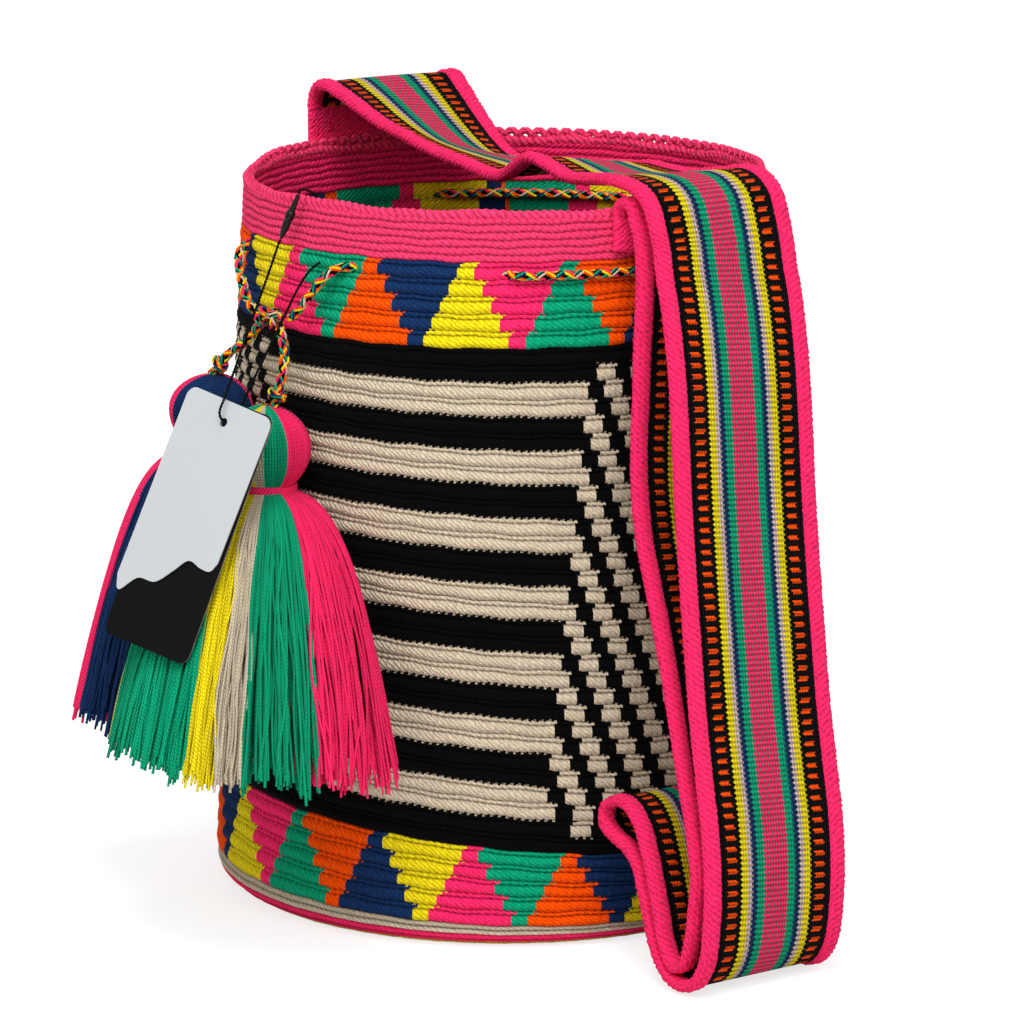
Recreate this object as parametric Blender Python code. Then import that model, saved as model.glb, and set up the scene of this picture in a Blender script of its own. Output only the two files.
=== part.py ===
# Crocheted bucket bag: a one-piece crocheted body, a woven shoulder strap with crocheted edges,
# a braided drawstring tied at the front, two big tassels and a hang tag on a twisted string.
# Metres, +Z up. The origin is the middle of the flat base. The drawstring is tied towards -Y.
# Angles round the bag are in degrees from -Y towards +X.
import math

import bmesh
import bpy
import numpy as np
from mathutils import Matrix, Vector

# Bag body
BAG_HEIGHT = 0.325
BASE_RADIUS = 0.1335
RIM_RADIUS = 0.1175
WALL = 0.003
BASE_CORNER = 0.011
BODY_STEPS = 84

# Gap between pieces that touch
FIT = 0.0003

# Drawstring and its eyelets
CORD_RADIUS = 0.0024
EYELET_DROP = 0.0275
EYELET_ANGLES = (20, 54.5, 98, 148, 203, 250, 296, 340)
EYELET_ROOM_ACROSS = 0.0038
EYELET_ROOM_UP = 0.001
EYELET_STEPS = 16
KNOT_ANGLE = 2.2
KNOT_OUT = 0.0099
KNOT_DROP = 0.053
KNOT_SIZE = (0.0125, 0.0065, 0.0055)

# Strap
BAND_WIDTH = 0.058
BAND_THICKNESS = 0.003
EDGE_WIDTH = 0.0087
EDGE_THICKNESS = 0.005
TAB_ROOM = 0.0031
LEFT_TAB_RISE = 0.017
RIGHT_TAB_RISE = -0.003
STRAP_SIDE_AT_RIM = 0.010
STRAP_SIDE_AT_FLOOR = -0.020

# Tassels
HEAD_RADIUS = 0.020
NECK_RADIUS = 0.0115
NECK_BINDING = 0.0028
NECK_HALF_HEIGHT = 0.002
STOP_RADIUS = 0.0045

# Hang tag
CARD_WIDTH = 0.052
CARD_THICKNESS = 0.0005
CARD_TOP = 0.0085
BACK_CARD_DROP = 0.105
CARD_CORNER = 0.005
CARD_HOLE_RADIUS = 0.0020
CARD_HOLE_ANGLE = 7.7
CARD_HOLE_OUT = 0.0459
CARD_HOLE_DROP = 0.0917
CARD_FACING = 15.0
CARD_LEAN = 21.0
CARD_TURN = 10.5
BACK_CARD_TURN = 8.5
STRING_RADIUS = 0.0006
STRING_HOLE_ANGLE = 11.6
STRING_HOLE_DROP = 0.027
STRING_HOLE_RADIUS = 0.0013
LOCK_TOP = (6.8, 0.0055, -0.002)
LOCK_FOOT = (2.9, 0.0078, 0.018)

# Sizes that follow from those above
EYELET_HALF_WIDTH = CORD_RADIUS + EYELET_ROOM_ACROSS
EYELET_HALF_HEIGHT = CORD_RADIUS + EYELET_ROOM_UP
STRAP_WIDTH = BAND_WIDTH + 2 * (FIT + EDGE_WIDTH)
TAB_DROP = EYELET_DROP - CORD_RADIUS - TAB_ROOM

# Colour, roughness and metallic value of each yarn and material
FINISHES = {
    "pink": ((0.86, 0.03, 0.19), 0.85, 0.0),
    "navy": ((0.01, 0.035, 0.13), 0.85, 0.0),
    "yellow": ((0.68, 0.61, 0.02), 0.85, 0.0),
    "green": ((0.01, 0.27, 0.14), 0.85, 0.0),
    "beige": ((0.62, 0.52, 0.43), 0.85, 0.0),
    "black": ((0.006, 0.006, 0.008), 0.9, 0.0),
    "braid": ((0.75, 0.25, 0.08), 0.85, 0.0),
    "card_white": ((0.66, 0.69, 0.71), 0.6, 0.0),
    "card_black": ((0.008, 0.008, 0.009), 0.5, 0.0),
    "lock": ((0.006, 0.006, 0.007), 0.25, 0.0),
}


def wall_radius(height):
    """Outer radius of the bag at a height."""
    return BASE_RADIUS + (RIM_RADIUS - BASE_RADIUS) * height / BAG_HEIGHT


def at_wall(angle, out, height):
    """A point at an angle round the bag, a distance outside its wall."""
    turn = math.radians(angle)
    radius = wall_radius(height) + out
    return Vector((radius * math.sin(turn), -radius * math.cos(turn), height))


def below_rim(angle, out, drop):
    """A point at an angle round the bag, a distance outside its wall and a drop below its rim."""
    return at_wall(angle, out, BAG_HEIGHT - drop)


def beside_front(across, out, drop):
    """A point a distance along the wall from the front, one outside it and a drop below its rim."""
    return below_rim(math.degrees(across / wall_radius(BAG_HEIGHT - drop)), out, drop)


def material(name):
    if name in bpy.data.materials:
        return bpy.data.materials[name]
    colour, roughness, metallic = FINISHES[name]
    made = bpy.data.materials.new(name)
    made.use_nodes = True
    shader = made.node_tree.nodes["Principled BSDF"]
    shader.inputs["Base Color"].default_value = (*colour, 1.0)
    shader.inputs["Roughness"].default_value = roughness
    shader.inputs["Metallic"].default_value = metallic
    made.diffuse_color = (*colour, 1.0)
    return made


def add_object(name, data, finish, pivot=None):
    """Puts the data in the scene. A piece that moves hangs from the empty at its pivot."""
    made = bpy.data.objects.new(name, data)
    data.materials.append(material(finish))
    bpy.context.scene.collection.objects.link(made)
    if pivot is not None:
        made.parent = pivot
    return made


def add_pivot(name, place):
    made = bpy.data.objects.new(name, None)
    made.location = place
    bpy.context.scene.collection.objects.link(made)
    return made


def mesh_object(name, shape, finish, pivot=None):
    """Turns a bmesh into an object with smooth sides and its faces outwards."""
    bmesh.ops.recalc_face_normals(shape, faces=shape.faces)
    if pivot is not None:
        bmesh.ops.translate(shape, verts=shape.verts, vec=-pivot.location)
    data = bpy.data.meshes.new(name)
    shape.to_mesh(data)
    shape.free()
    data.shade_smooth()
    data.set_sharp_from_angle(angle=math.radians(40))
    return add_object(name, data, finish, pivot)


def loft(name, rings, finish, pivot=None):
    """A closed solid through rings of points, with a flat cap at each end."""
    shape = bmesh.new()
    loops = [[shape.verts.new(point) for point in ring] for ring in rings]
    count = len(rings[0])
    for low, high in zip(loops, loops[1:]):
        for i in range(count):
            j = (i + 1) % count
            shape.faces.new((low[i], low[j], high[j], high[i]))
    shape.faces.new(loops[0][::-1])
    shape.faces.new(loops[-1])
    return mesh_object(name, shape, finish, pivot)


def turned(name, profile, steps, finish, pivot=None, place=None):
    """A solid of revolution. The profile of (radius, height) starts and ends on the axis."""
    shape = bmesh.new()
    foot = shape.verts.new((0, 0, profile[0][1]))
    top = shape.verts.new((0, 0, profile[-1][1]))
    rings = []
    for radius, height in profile[1:-1]:
        turns = [2 * math.pi * i / steps for i in range(steps)]
        rings.append([shape.verts.new((radius * math.sin(t), -radius * math.cos(t), height))
                      for t in turns])
    for i in range(steps):
        j = (i + 1) % steps
        shape.faces.new((foot, rings[0][j], rings[0][i]))
        shape.faces.new((top, rings[-1][i], rings[-1][j]))
        for low, high in zip(rings, rings[1:]):
            shape.faces.new((low[i], low[j], high[j], high[i]))
    if place is not None:
        bmesh.ops.transform(shape, matrix=place, verts=shape.verts)
    return mesh_object(name, shape, finish, pivot)


def smooth_path(points, step=0.001):
    """Points close together on a smooth curve through rows whose first three values are a place."""
    rows = np.array(points, float)
    rows = np.vstack([2 * rows[0] - rows[1], rows, 2 * rows[-1] - rows[-2]])
    found = []
    for a, b, c, d in zip(rows, rows[1:], rows[2:], rows[3:]):
        knots = [0.0]
        for start, end in ((a, b), (b, c), (c, d)):
            knots.append(knots[-1] + max(np.linalg.norm((end - start)[:3]), 1e-6) ** 0.5)
        length = np.linalg.norm((c - b)[:3])
        for t in np.linspace(knots[1], knots[2], max(2, int(length / step)), endpoint=False):
            ab = ((knots[1] - t) * a + (t - knots[0]) * b) / (knots[1] - knots[0])
            bc = ((knots[2] - t) * b + (t - knots[1]) * c) / (knots[2] - knots[1])
            cd = ((knots[3] - t) * c + (t - knots[2]) * d) / (knots[3] - knots[2])
            abc = ((knots[2] - t) * ab + (t - knots[0]) * bc) / (knots[2] - knots[0])
            bcd = ((knots[3] - t) * bc + (t - knots[1]) * cd) / (knots[3] - knots[1])
            found.append(((knots[2] - t) * abc + (t - knots[1]) * bcd) / (knots[2] - knots[1]))
    found.append(rows[-2])
    return np.array(found)


def stations(path, longest, sharpest):
    """The rows of a path to keep: closer together where it turns."""
    keep = [0]
    directions = np.diff(path[:, :3], axis=0)
    directions /= np.linalg.norm(directions, axis=1)[:, None]
    run = turn = 0.0
    for i in range(1, len(path) - 1):
        run += np.linalg.norm(path[i, :3] - path[i - 1, :3])
        turn += math.degrees(math.acos(min(1.0, float(directions[i] @ directions[i - 1]))))
        if run > longest or turn > sharpest:
            keep.append(i)
            run = turn = 0.0
    last = len(path) - 1
    short = np.linalg.norm(path[keep[-1], :3] - path[last, :3]) < 0.3 * longest
    if short and len(keep) > 1 and turn < 4:
        keep.pop()
    keep.append(last)
    return path[keep]


def evenly(path, spacing):
    """Points an even distance apart along a path."""
    lengths = np.concatenate([[0], np.cumsum(np.linalg.norm(np.diff(path[:, :3], axis=0), axis=1))])
    count = max(2, round(lengths[-1] / spacing) + 1)
    places = np.linspace(0, lengths[-1], count)
    return np.stack([np.interp(places, lengths, path[:, k]) for k in range(3)], axis=1)


def cord(name, points, radius, finish, pivot=None, round_start=False):
    """A tube with flat ends, or with its first end rounded where it turns in its seat."""
    offset = pivot.location if pivot is not None else Vector((0, 0, 0))
    data = bpy.data.curves.new(name, "CURVE")
    data.dimensions = "3D"
    data.bevel_depth = radius
    data.bevel_resolution = 2
    data.use_fill_caps = True
    rows = [(Vector(point), 1.0) for point in points]
    if round_start:
        start = rows[0][0]
        along = (rows[1][0] - start).normalized()
        widths = ((0.0, 0.35), (0.3, 0.72), (1.0, 1.0))
        nose = [(start + along * radius * back, wide) for back, wide in widths]
        rows = nose + rows[1:]
    spline = data.splines.new("POLY")
    spline.points.add(len(rows) - 1)
    for target, (place, wide) in zip(spline.points, rows):
        target.co = (*(place - offset), 1.0)
        target.radius = wide
    return add_object(name, data, finish, pivot)


# Bag body: base, wall and rim are crocheted as one piece

def body_profile():
    """Outer base, outer wall, rim, inner wall and inner base, from the axis round to the axis."""
    rows = [(0, 0), (BASE_RADIUS * 0.45, 0)]
    corner_steps = 4
    for i in range(corner_steps + 1):
        turn = math.radians(90 * i / corner_steps)
        out = wall_radius(BASE_CORNER) - BASE_CORNER + BASE_CORNER * math.sin(turn)
        rows.append((out, BASE_CORNER * (1 - math.cos(turn))))
    band_low = BAG_HEIGHT - EYELET_DROP - 2.5 * EYELET_HALF_HEIGHT
    band_high = BAG_HEIGHT - EYELET_DROP + 2.5 * EYELET_HALF_HEIGHT
    for height in (0.5 * band_low, band_low, band_high):
        rows.append((wall_radius(height), height))
    rows.append((wall_radius(BAG_HEIGHT), BAG_HEIGHT - 0.3 * WALL))
    rows.append((wall_radius(BAG_HEIGHT) - 0.3 * WALL, BAG_HEIGHT))
    rows.append((wall_radius(BAG_HEIGHT) - 0.7 * WALL, BAG_HEIGHT))
    rows.append((wall_radius(BAG_HEIGHT) - WALL, BAG_HEIGHT - 0.3 * WALL))
    for height in (band_high, band_low, 0.5 * band_low):
        rows.append((wall_radius(height) - WALL, height))
    inner_corner = BASE_CORNER - WALL
    for i in range(corner_steps + 1):
        turn = math.radians(90 * (1 - i / corner_steps))
        out = wall_radius(BASE_CORNER) - BASE_CORNER + inner_corner * math.sin(turn)
        rows.append((out, WALL + inner_corner * (1 - math.cos(turn))))
    return rows + [(BASE_RADIUS * 0.45, WALL), (0, WALL)]


def eyelet_cutters():
    """Oval pegs through the wall for the drawstring, and a round one for the tag's string."""
    shape = bmesh.new()
    line = BAG_HEIGHT - EYELET_DROP
    holes = [(angle, line, EYELET_HALF_WIDTH, EYELET_HALF_HEIGHT) for angle in EYELET_ANGLES]
    string_line = BAG_HEIGHT - STRING_HOLE_DROP
    holes.append((STRING_HOLE_ANGLE, string_line, STRING_HOLE_RADIUS, STRING_HOLE_RADIUS))
    for angle, height, half_width, half_height in holes:
        middle = at_wall(angle, -WALL / 2, height)
        place = (Matrix.Translation(middle) @ Matrix.Rotation(math.radians(angle), 4, "Z")
                 @ Matrix.Rotation(math.radians(90), 4, "X")
                 @ Matrix.Diagonal((half_width, half_height, 1, 1)))
        bmesh.ops.create_cone(shape, cap_ends=True, segments=EYELET_STEPS, radius1=1, radius2=1,
                              depth=6 * WALL, matrix=place)
    cutter = mesh_object("eyelet_cutters", shape, "black")
    cutter.hide_render = True
    cutter.display_type = "WIRE"
    return cutter


def make_body():
    body = turned("bag_body", body_profile(), BODY_STEPS, "pink")
    cut = body.modifiers.new("Eyelets", "BOOLEAN")
    cut.operation = "DIFFERENCE"
    cut.solver = "EXACT"
    cut.object = eyelet_cutters()


# Strap: a woven band between two crocheted edges, sewn to the rim by a crocheted tab at each end

def strap_radius(height):
    """Distance from the bag's axis to the middle of a strap that lies on the wall."""
    return wall_radius(min(height, BAG_HEIGHT)) + FIT + EDGE_THICKNESS / 2


def strap_side(height):
    """The strap drifts towards the front as it hangs, because its loop stands on the floor."""
    share = min(height / (0.95 * BAG_HEIGHT), 1.0)
    return STRAP_SIDE_AT_FLOOR + (STRAP_SIDE_AT_RIM - STRAP_SIDE_AT_FLOOR) * share


def strap_route():
    """Rows of (x, height, roll in degrees, bow) along the strap's middle, from the left tab on."""
    top = BAG_HEIGHT
    rim = RIM_RADIUS
    sewn = strap_radius(top)
    rows = [(-sewn, top + LEFT_TAB_RISE + FIT, 0, -1), (-sewn, top + LEFT_TAB_RISE + 0.0025, 0, -1)]
    over = ((0.0012, 0.0245, 0, -0.9), (-0.0030, 0.0285, 0, -0.8), (-0.0100, 0.0292, 0, -0.7),
            (-0.0175, 0.0262, 2, -0.5))
    rows += [(-rim - out, top + rise, roll, bow) for out, rise, roll, bow in over]
    mouth = ((-0.765957, 0.0215, 5, -0.3), (-0.638298, 0.0140, 9, -0.1), (-0.510638, 0.0075, 13, 0),
             (-0.408511, 0.0040, 15, 0), (-0.255319, 0.0030, 11, 0), (0.0, 0.0025, 6, 0),
             (0.255319, 0.0030, 1, 0), (0.357447, 0.0062, 5, 0), (0.442553, 0.0095, 8, 0),
             (0.544681, 0.0085, 7, 0), (0.680851, 0.0068, 4, 0), (0.817021, 0.0085, 3, 0))
    rows += [(share * rim, top + rise, roll, bow) for share, rise, roll, bow in mouth]
    right = ((-0.0075, 0.0106, 2), (0.0040, 0.0112, 0), (0.0135, 0.0093, 0), (0.0210, 0.0040, 0),
             (0.0250, -0.0040, 0), (0.0285, -0.0140, 0), (0.0325, -0.0260, 0))
    rows += [(rim + out, top + rise, roll, 0) for out, rise, roll in right]
    falling = ((0.0365, 0.874), (0.0432, 0.794), (0.0479, 0.714), (0.0517, 0.640), (0.0565, 0.560),
               (0.0629, 0.462), (0.0702, 0.357))
    rows += [(wall_radius(share * top) + out, share * top, 0, 0) for out, share in falling]
    foot = ((0.0770, 0.0900), (0.0820, 0.0720), (0.0856, 0.0520), (0.0866, 0.0320), (0.0848, 0.0160),
            (0.0788, 0.0062), (0.0706, 0.0030), (0.0612, 0.0048), (0.0526, 0.0125), (0.0462, 0.0245),
            (0.0408, 0.0365), (0.0353, 0.0470), (0.0276, 0.0530), (0.0192, 0.0555), (0.0119, 0.0595),
            (0.0112, 0.0660), (0.0180, 0.0715), (0.0270, 0.0710), (0.0357, 0.0640), (0.0421, 0.0530),
            (0.0475, 0.0410), (0.0524, 0.0290), (0.0573, 0.0170), (0.0640, 0.0098), (0.0701, 0.0120),
            (0.0741, 0.0220), (0.0758, 0.0360), (0.0761, 0.0520), (0.0714, 0.0700))
    rows += [(wall_radius(height) + out, height, 0, 0) for out, height in foot]
    rising = ((0.0639, 0.277), (0.0569, 0.338), (0.0490, 0.406), (0.0410, 0.468), (0.0338, 0.520),
              (0.0267, 0.572), (0.0216, 0.634), (0.0195, 0.689), (0.0190, 0.751), (0.0190, 0.812),
              (0.0195, 0.874))
    rows += [(wall_radius(share * top) + out, share * top, 0, 0.6 * max(0, share - 0.75) / 0.125)
             for out, share in rising]
    fold = ((0.0170, -0.0230, 0.8), (0.0145, -0.0110, 0.95), (0.0116, -0.0035, 1), (0.0097, 0.0012, 1),
            (0.0058, 0.0034, 1), (0.0016, 0.0020, 1), (0.0, RIGHT_TAB_RISE + 0.0025, 1),
            (0.0, RIGHT_TAB_RISE + FIT, 1))
    rows += [(sewn + out, top + rise, 0, bow) for out, rise, bow in fold]
    return rows


def tab_route(low, high, sign):
    """Rows of a sewn tab, straight up the wall and past the rim."""
    return [(sign * strap_radius(height), height, 0, sign) for height in np.linspace(low, high, 5)]


def strap_rings(rows, outline):
    """The outline of (across, through) points, carried along the strap's middle line."""
    rings = []
    count = len(rows)
    for i, (x, y, z, roll, bow) in enumerate(rows):
        before = rows[max(i - 1, 0)][:3]
        after = rows[min(i + 1, count - 1)][:3]
        along = Vector(after - before).normalized()
        across = Vector((0, 1, 0))
        across = (across - along * across.dot(along)).normalized()
        out = along.cross(across)
        turn = math.radians(roll)
        tilted = across * math.cos(turn) - out * math.sin(turn)
        normal = along.cross(tilted)
        radius = strap_radius(z)
        ring = []
        for side, through in outline:
            point = Vector((x, y, z)) + tilted * side + normal * through
            sag = math.sqrt(radius ** 2 - y ** 2) - math.sqrt(radius ** 2 - (y + side) ** 2)
            point.x -= bow * sag
            ring.append(point)
        rings.append(ring)
    return rings


def slab_outline(half_width, thickness, parts):
    """A flat section, cut into parts across so that it can follow the round wall."""
    sides = [half_width * (2 * i / parts - 1) for i in range(parts + 1)]
    return [(side, -thickness / 2) for side in sides] + [(side, thickness / 2) for side in reversed(sides)]


def edge_outline(sign):
    """A plump crocheted edge beside the band."""
    inner = BAND_WIDTH / 2 + FIT
    outer = STRAP_WIDTH / 2
    shoulder = 0.002
    flat = BAND_THICKNESS / 2
    full = EDGE_THICKNESS / 2
    rows = [(inner, -flat), (inner + shoulder, -full), (outer - shoulder, -full), (outer, -0.4 * full),
            (outer, 0.4 * full), (outer - shoulder, full), (inner + shoulder, full), (inner, flat)]
    return [(sign * side, through) for side, through in rows]


def make_strap():
    dense = smooth_path([(x, strap_side(z), z, roll, bow) for x, z, roll, bow in strap_route()])
    rows = stations(dense, longest=0.024, sharpest=17)
    loft("strap_band", strap_rings(rows, slab_outline(BAND_WIDTH / 2, BAND_THICKNESS, 4)), "green")
    loft("strap_edge_front", strap_rings(rows, edge_outline(-1)), "pink")
    loft("strap_edge_rear", strap_rings(rows, edge_outline(1)), "pink")
    for name, rise, sign in (("strap_tab_left", LEFT_TAB_RISE, -1), ("strap_tab_right", RIGHT_TAB_RISE, 1)):
        route = tab_route(BAG_HEIGHT - TAB_DROP, BAG_HEIGHT + rise, sign)
        rows = np.array([(x, strap_side(z), z, roll, bow) for x, z, roll, bow in route])
        loft(name, strap_rings(rows, slab_outline(STRAP_WIDTH / 2, EDGE_THICKNESS, 6)), "pink")


# Drawstring: threaded in and out of the eyelets and tied in front

def knot_centre():
    return below_rim(KNOT_ANGLE, KNOT_OUT, KNOT_DROP)


def drawstring_route():
    """Rows of (angle, distance from the wall, height) from the knot's right end round to its left end."""
    line = BAG_HEIGHT - EYELET_DROP
    outside = CORD_RADIUS + FIT
    inside = -(WALL + CORD_RADIUS + FIT)
    rows = [(7.9, 0.0106, line - 0.0243), (10.6, 0.0102, line - 0.0185), (13.6, 0.0088, line - 0.0100),
            (16.0, 0.0066, line - 0.0030)]
    out_now = True
    cross = 3.1
    run_step = 5.6
    for k, angle in enumerate(EYELET_ANGLES):
        start, end = (outside, inside) if out_now else (inside, outside)
        for share in (-1.0, -0.6, -0.3, 0.0, 0.3, 0.6, 1.0):
            if (k == 0 and share == -1.0) or (k == len(EYELET_ANGLES) - 1 and share == 1.0):
                continue
            ease = 0.5 + 0.5 * math.sin(share * math.pi / 2)
            rows.append((angle + share * cross, start + (end - start) * ease, line))
        out_now = not out_now
        if k + 1 < len(EYELET_ANGLES):
            first = angle + cross
            last = EYELET_ANGLES[k + 1] - cross
            count = max(2, round((last - first) / run_step))
            rows += [(first + (last - first) * i / count, end, line) for i in range(1, count)]
    rows += [(344.0, 0.0066, line - 0.0030), (347.5, 0.0088, line - 0.0100), (352.0, 0.0102, line - 0.0180),
             (356.1, 0.0106, line - 0.0243)]
    return rows


def make_drawstring():
    rough = smooth_path([at_wall(*row) for row in drawstring_route()])
    rows = stations(rough, longest=0.014, sharpest=18)
    cord("drawstring", rows[:, :3], CORD_RADIUS, "braid")
    shape = bmesh.new()
    place = (Matrix.Translation(knot_centre()) @ Matrix.Rotation(math.radians(KNOT_ANGLE), 4, "Z")
             @ Matrix.Diagonal((*KNOT_SIZE, 1)))
    bmesh.ops.create_uvsphere(shape, u_segments=16, v_segments=10, radius=1, matrix=place)
    mesh_object("drawstring_knot", shape, "braid")


# Tassels: hanks of yarn folded over the cord's end, bound at the neck and fanned out below

# Places are (angle, distance outside the wall, drop below the rim). A foot's first value is its
# distance along the wall from the front.
TASSELS = {
    "left": {
        "pivot": (-2.5, 0.0112, 0.0593), "route": ((-5.0, 0.0120, 0.0650), (-8.6, 0.0160, 0.0715)),
        "stop": (-9.8, 0.0197, 0.0770), "head": (-10.9, 0.0205, 0.0971), "neck_drop": 0.1155,
        "facing": -26.0, "foot": (-0.05872614, 0.0370, 0.2420), "foot_size": (0.043, 0.033),
        "early_lean": 0.36,
        "hanks": (("pink", 45, 110), ("yellow", 110, 180), ("green", 180, 250), ("pink", 250, 315),
                  ("navy", 315, 405)),
        "binding": "pink",
    },
    "right": {
        "pivot": (6.2, 0.0117, 0.0597), "route": ((8.4, 0.0140, 0.0660), (9.2, 0.0170, 0.0750)),
        "stop": (8.9, 0.0190, 0.0836), "head": (7.4, 0.0208, 0.1065), "neck_drop": 0.1247,
        "facing": 15.4, "foot": (0.03470455, 0.0482, 0.2360), "foot_size": (0.073, 0.045),
        "early_lean": 0.45,
        "hanks": (("pink", -2, 25), ("green", 25, 55), ("beige", 55, 73), ("yellow", 73, 95),
                  ("green", 95, 165), ("yellow", 165, 240), ("pink", 240, 300), ("navy", 300, 358)),
        "binding": "pink",
    },
}
HEAD_TURNS = (16, 42, 66, 90, 114, 134)
SKIRT_SHARES = (0.0, 0.012, 0.05, 0.14, 0.32, 0.62, 1.0)


def tassel_sections(tassel):
    """Rows of (centre, half width, half depth) from the top of the head to the foot of the skirt."""
    head = below_rim(*tassel["head"])
    stop = below_rim(*tassel["stop"])
    foot = beside_front(*tassel["foot"])
    rise = stop.z - STOP_RADIUS - FIT - head.z
    neck_top = BAG_HEIGHT - tassel["neck_drop"] + NECK_HALF_HEIGHT
    drop = head.z - neck_top
    lowest = math.cos(math.asin(NECK_RADIUS / HEAD_RADIUS))
    rows = []
    for turn in HEAD_TURNS:
        across = HEAD_RADIUS * math.sin(math.radians(turn))
        up = math.cos(math.radians(turn)) / math.cos(math.radians(HEAD_TURNS[0]))
        height = head.z + (up * rise if up > 0 else up * drop / lowest)
        rows.append((Vector((head.x, head.y, height)), across, across))
    rows.append((Vector((head.x, head.y, neck_top)), NECK_RADIUS, NECK_RADIUS))
    skirt_top = neck_top - 2 * NECK_HALF_HEIGHT
    for share in SKIRT_SHARES:
        spread = math.sqrt(share)
        lean = tassel["early_lean"] * math.sqrt(share) + (1 - tassel["early_lean"]) * share
        centre = Vector((head.x, head.y, 0)).lerp(Vector((foot.x, foot.y, 0)), lean)
        centre.z = skirt_top + (foot.z - skirt_top) * share
        width, depth = (NECK_RADIUS + (full - NECK_RADIUS) * spread for full in tassel["foot_size"])
        rows.append((centre, width, depth))
    return rows


def hank_rings(sections, facing, start, end):
    """One hank's wedge of the tassel, set off from its neighbours by the fit."""
    along = Vector((math.cos(math.radians(facing)), math.sin(math.radians(facing)), 0))
    outward = Vector((math.sin(math.radians(facing)), -math.cos(math.radians(facing)), 0))
    parts = max(2, round((end - start) / 18))
    turns = [math.radians(start + (end - start) * i / parts) for i in range(parts + 1)]
    half = math.radians((end - start) / 2)
    middle = math.radians((start + end) / 2)
    away = FIT / 2 / math.sin(half)
    shift = (along * math.cos(middle) + outward * math.sin(middle)) * away
    rings = []
    for centre, width, depth in sections:
        ring = [centre + shift]
        for turn in turns:
            radius = width * depth / math.hypot(depth * math.cos(turn), width * math.sin(turn))
            direction = along * math.cos(turn) + outward * math.sin(turn)
            ring.append(centre + shift + direction * (radius - away))
        rings.append(ring)
    return rings


def neck_binding(name, centre, finish, pivot):
    """A band of yarn wound round the neck."""
    inner = NECK_RADIUS + FIT
    outer = NECK_RADIUS + NECK_BINDING
    half = NECK_HALF_HEIGHT - FIT
    section = [(inner, -half), (outer - 0.001, -half), (outer, 0), (outer - 0.001, half), (inner, half)]
    steps = 28
    shape = bmesh.new()
    rings = []
    for i in range(steps):
        turn = 2 * math.pi * i / steps
        rings.append([shape.verts.new(centre + Vector((r * math.cos(turn), r * math.sin(turn), z)))
                      for r, z in section])
    for i, ring in enumerate(rings):
        other = rings[(i + 1) % steps]
        for k in range(len(section)):
            m = (k + 1) % len(section)
            shape.faces.new((ring[k], other[k], other[m], ring[m]))
    mesh_object(name, shape, finish, pivot)


def make_tassel(side, tassel):
    pivot = add_pivot(f"tassel_{side}_pivot", below_rim(*tassel["pivot"]))
    stop = below_rim(*tassel["stop"])
    bends = [below_rim(*row) for row in tassel["route"]]
    last = bends[-1]
    end = stop + (last - stop).normalized() * (STOP_RADIUS + FIT)
    start = pivot.location + (pivot.location - bends[0]).normalized() * CORD_RADIUS
    rows = evenly(smooth_path([start, *bends, end]), 0.005)
    cord(f"cord_end_{side}", rows, CORD_RADIUS, "braid", pivot, round_start=True)
    shape = bmesh.new()
    bmesh.ops.create_uvsphere(shape, u_segments=12, v_segments=8, radius=STOP_RADIUS,
                              matrix=Matrix.Translation(stop))
    mesh_object(f"cord_stop_{side}", shape, "braid", pivot)
    sections = tassel_sections(tassel)
    for k, (colour, start_turn, end_turn) in enumerate(tassel["hanks"]):
        rings = hank_rings(sections, tassel["facing"], start_turn, end_turn)
        loft(f"tassel_{side}_{colour}_hank_{k + 1}", rings, colour, pivot)
    head = below_rim(*tassel["head"])
    neck = Vector((head.x, head.y, BAG_HEIGHT - tassel["neck_drop"]))
    neck_binding(f"tassel_{side}_binding", neck, tassel["binding"], pivot)


# Hang tag: two cards on one twisted string, closed by a plastic lock

def card_axes(turn_down):
    """Right, up and outward directions of a card that leans on the tassel and hangs askew."""
    facing = math.radians(CARD_FACING)
    lean = math.radians(CARD_LEAN)
    right = Vector((math.cos(facing), math.sin(facing), 0))
    flat = math.cos(lean)
    outward = Vector((math.sin(facing) * flat, -math.cos(facing) * flat, math.sin(lean)))
    up = outward.cross(right)
    turn = math.radians(turn_down)
    across = right * math.cos(turn) - up * math.sin(turn)
    return across, up * math.cos(turn) + right * math.sin(turn), outward


def corner_arc(x, y, radius, start):
    steps = 4
    turns = [math.radians(start + 90 * i / steps) for i in range(steps + 1)]
    return [(x + radius * math.cos(t), y + radius * math.sin(t)) for t in turns]


def card_outline(foot):
    """Rounded top corners, then the foot's points from left to right."""
    half = CARD_WIDTH / 2 - CARD_CORNER
    top = CARD_TOP - CARD_CORNER
    return corner_arc(half, top, CARD_CORNER, 0) + corner_arc(-half, top, CARD_CORNER, 90) + foot


def wavy_foot():
    """The front card is cut off in a wave."""
    half = CARD_WIDTH / 2
    points = ((-half, -0.0800, 0), (-half + 0.0035, -0.0862, 0), (-half + 0.0120, -0.0780, 0),
              (-0.0040, -0.0765, 0), (0.0035, -0.0690, 0), (0.0100, -0.0620, 0),
              (half - 0.0080, -0.0630, 0), (half - 0.0025, -0.0625, 0), (half, -0.0580, 0))
    return [(x, y) for x, y, _ in evenly(smooth_path(points), 0.003)]


def square_foot():
    half = CARD_WIDTH / 2 - CARD_CORNER
    low = -BACK_CARD_DROP + CARD_CORNER
    return corner_arc(-half, low, CARD_CORNER, 180) + corner_arc(half, low, CARD_CORNER, 270)


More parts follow.
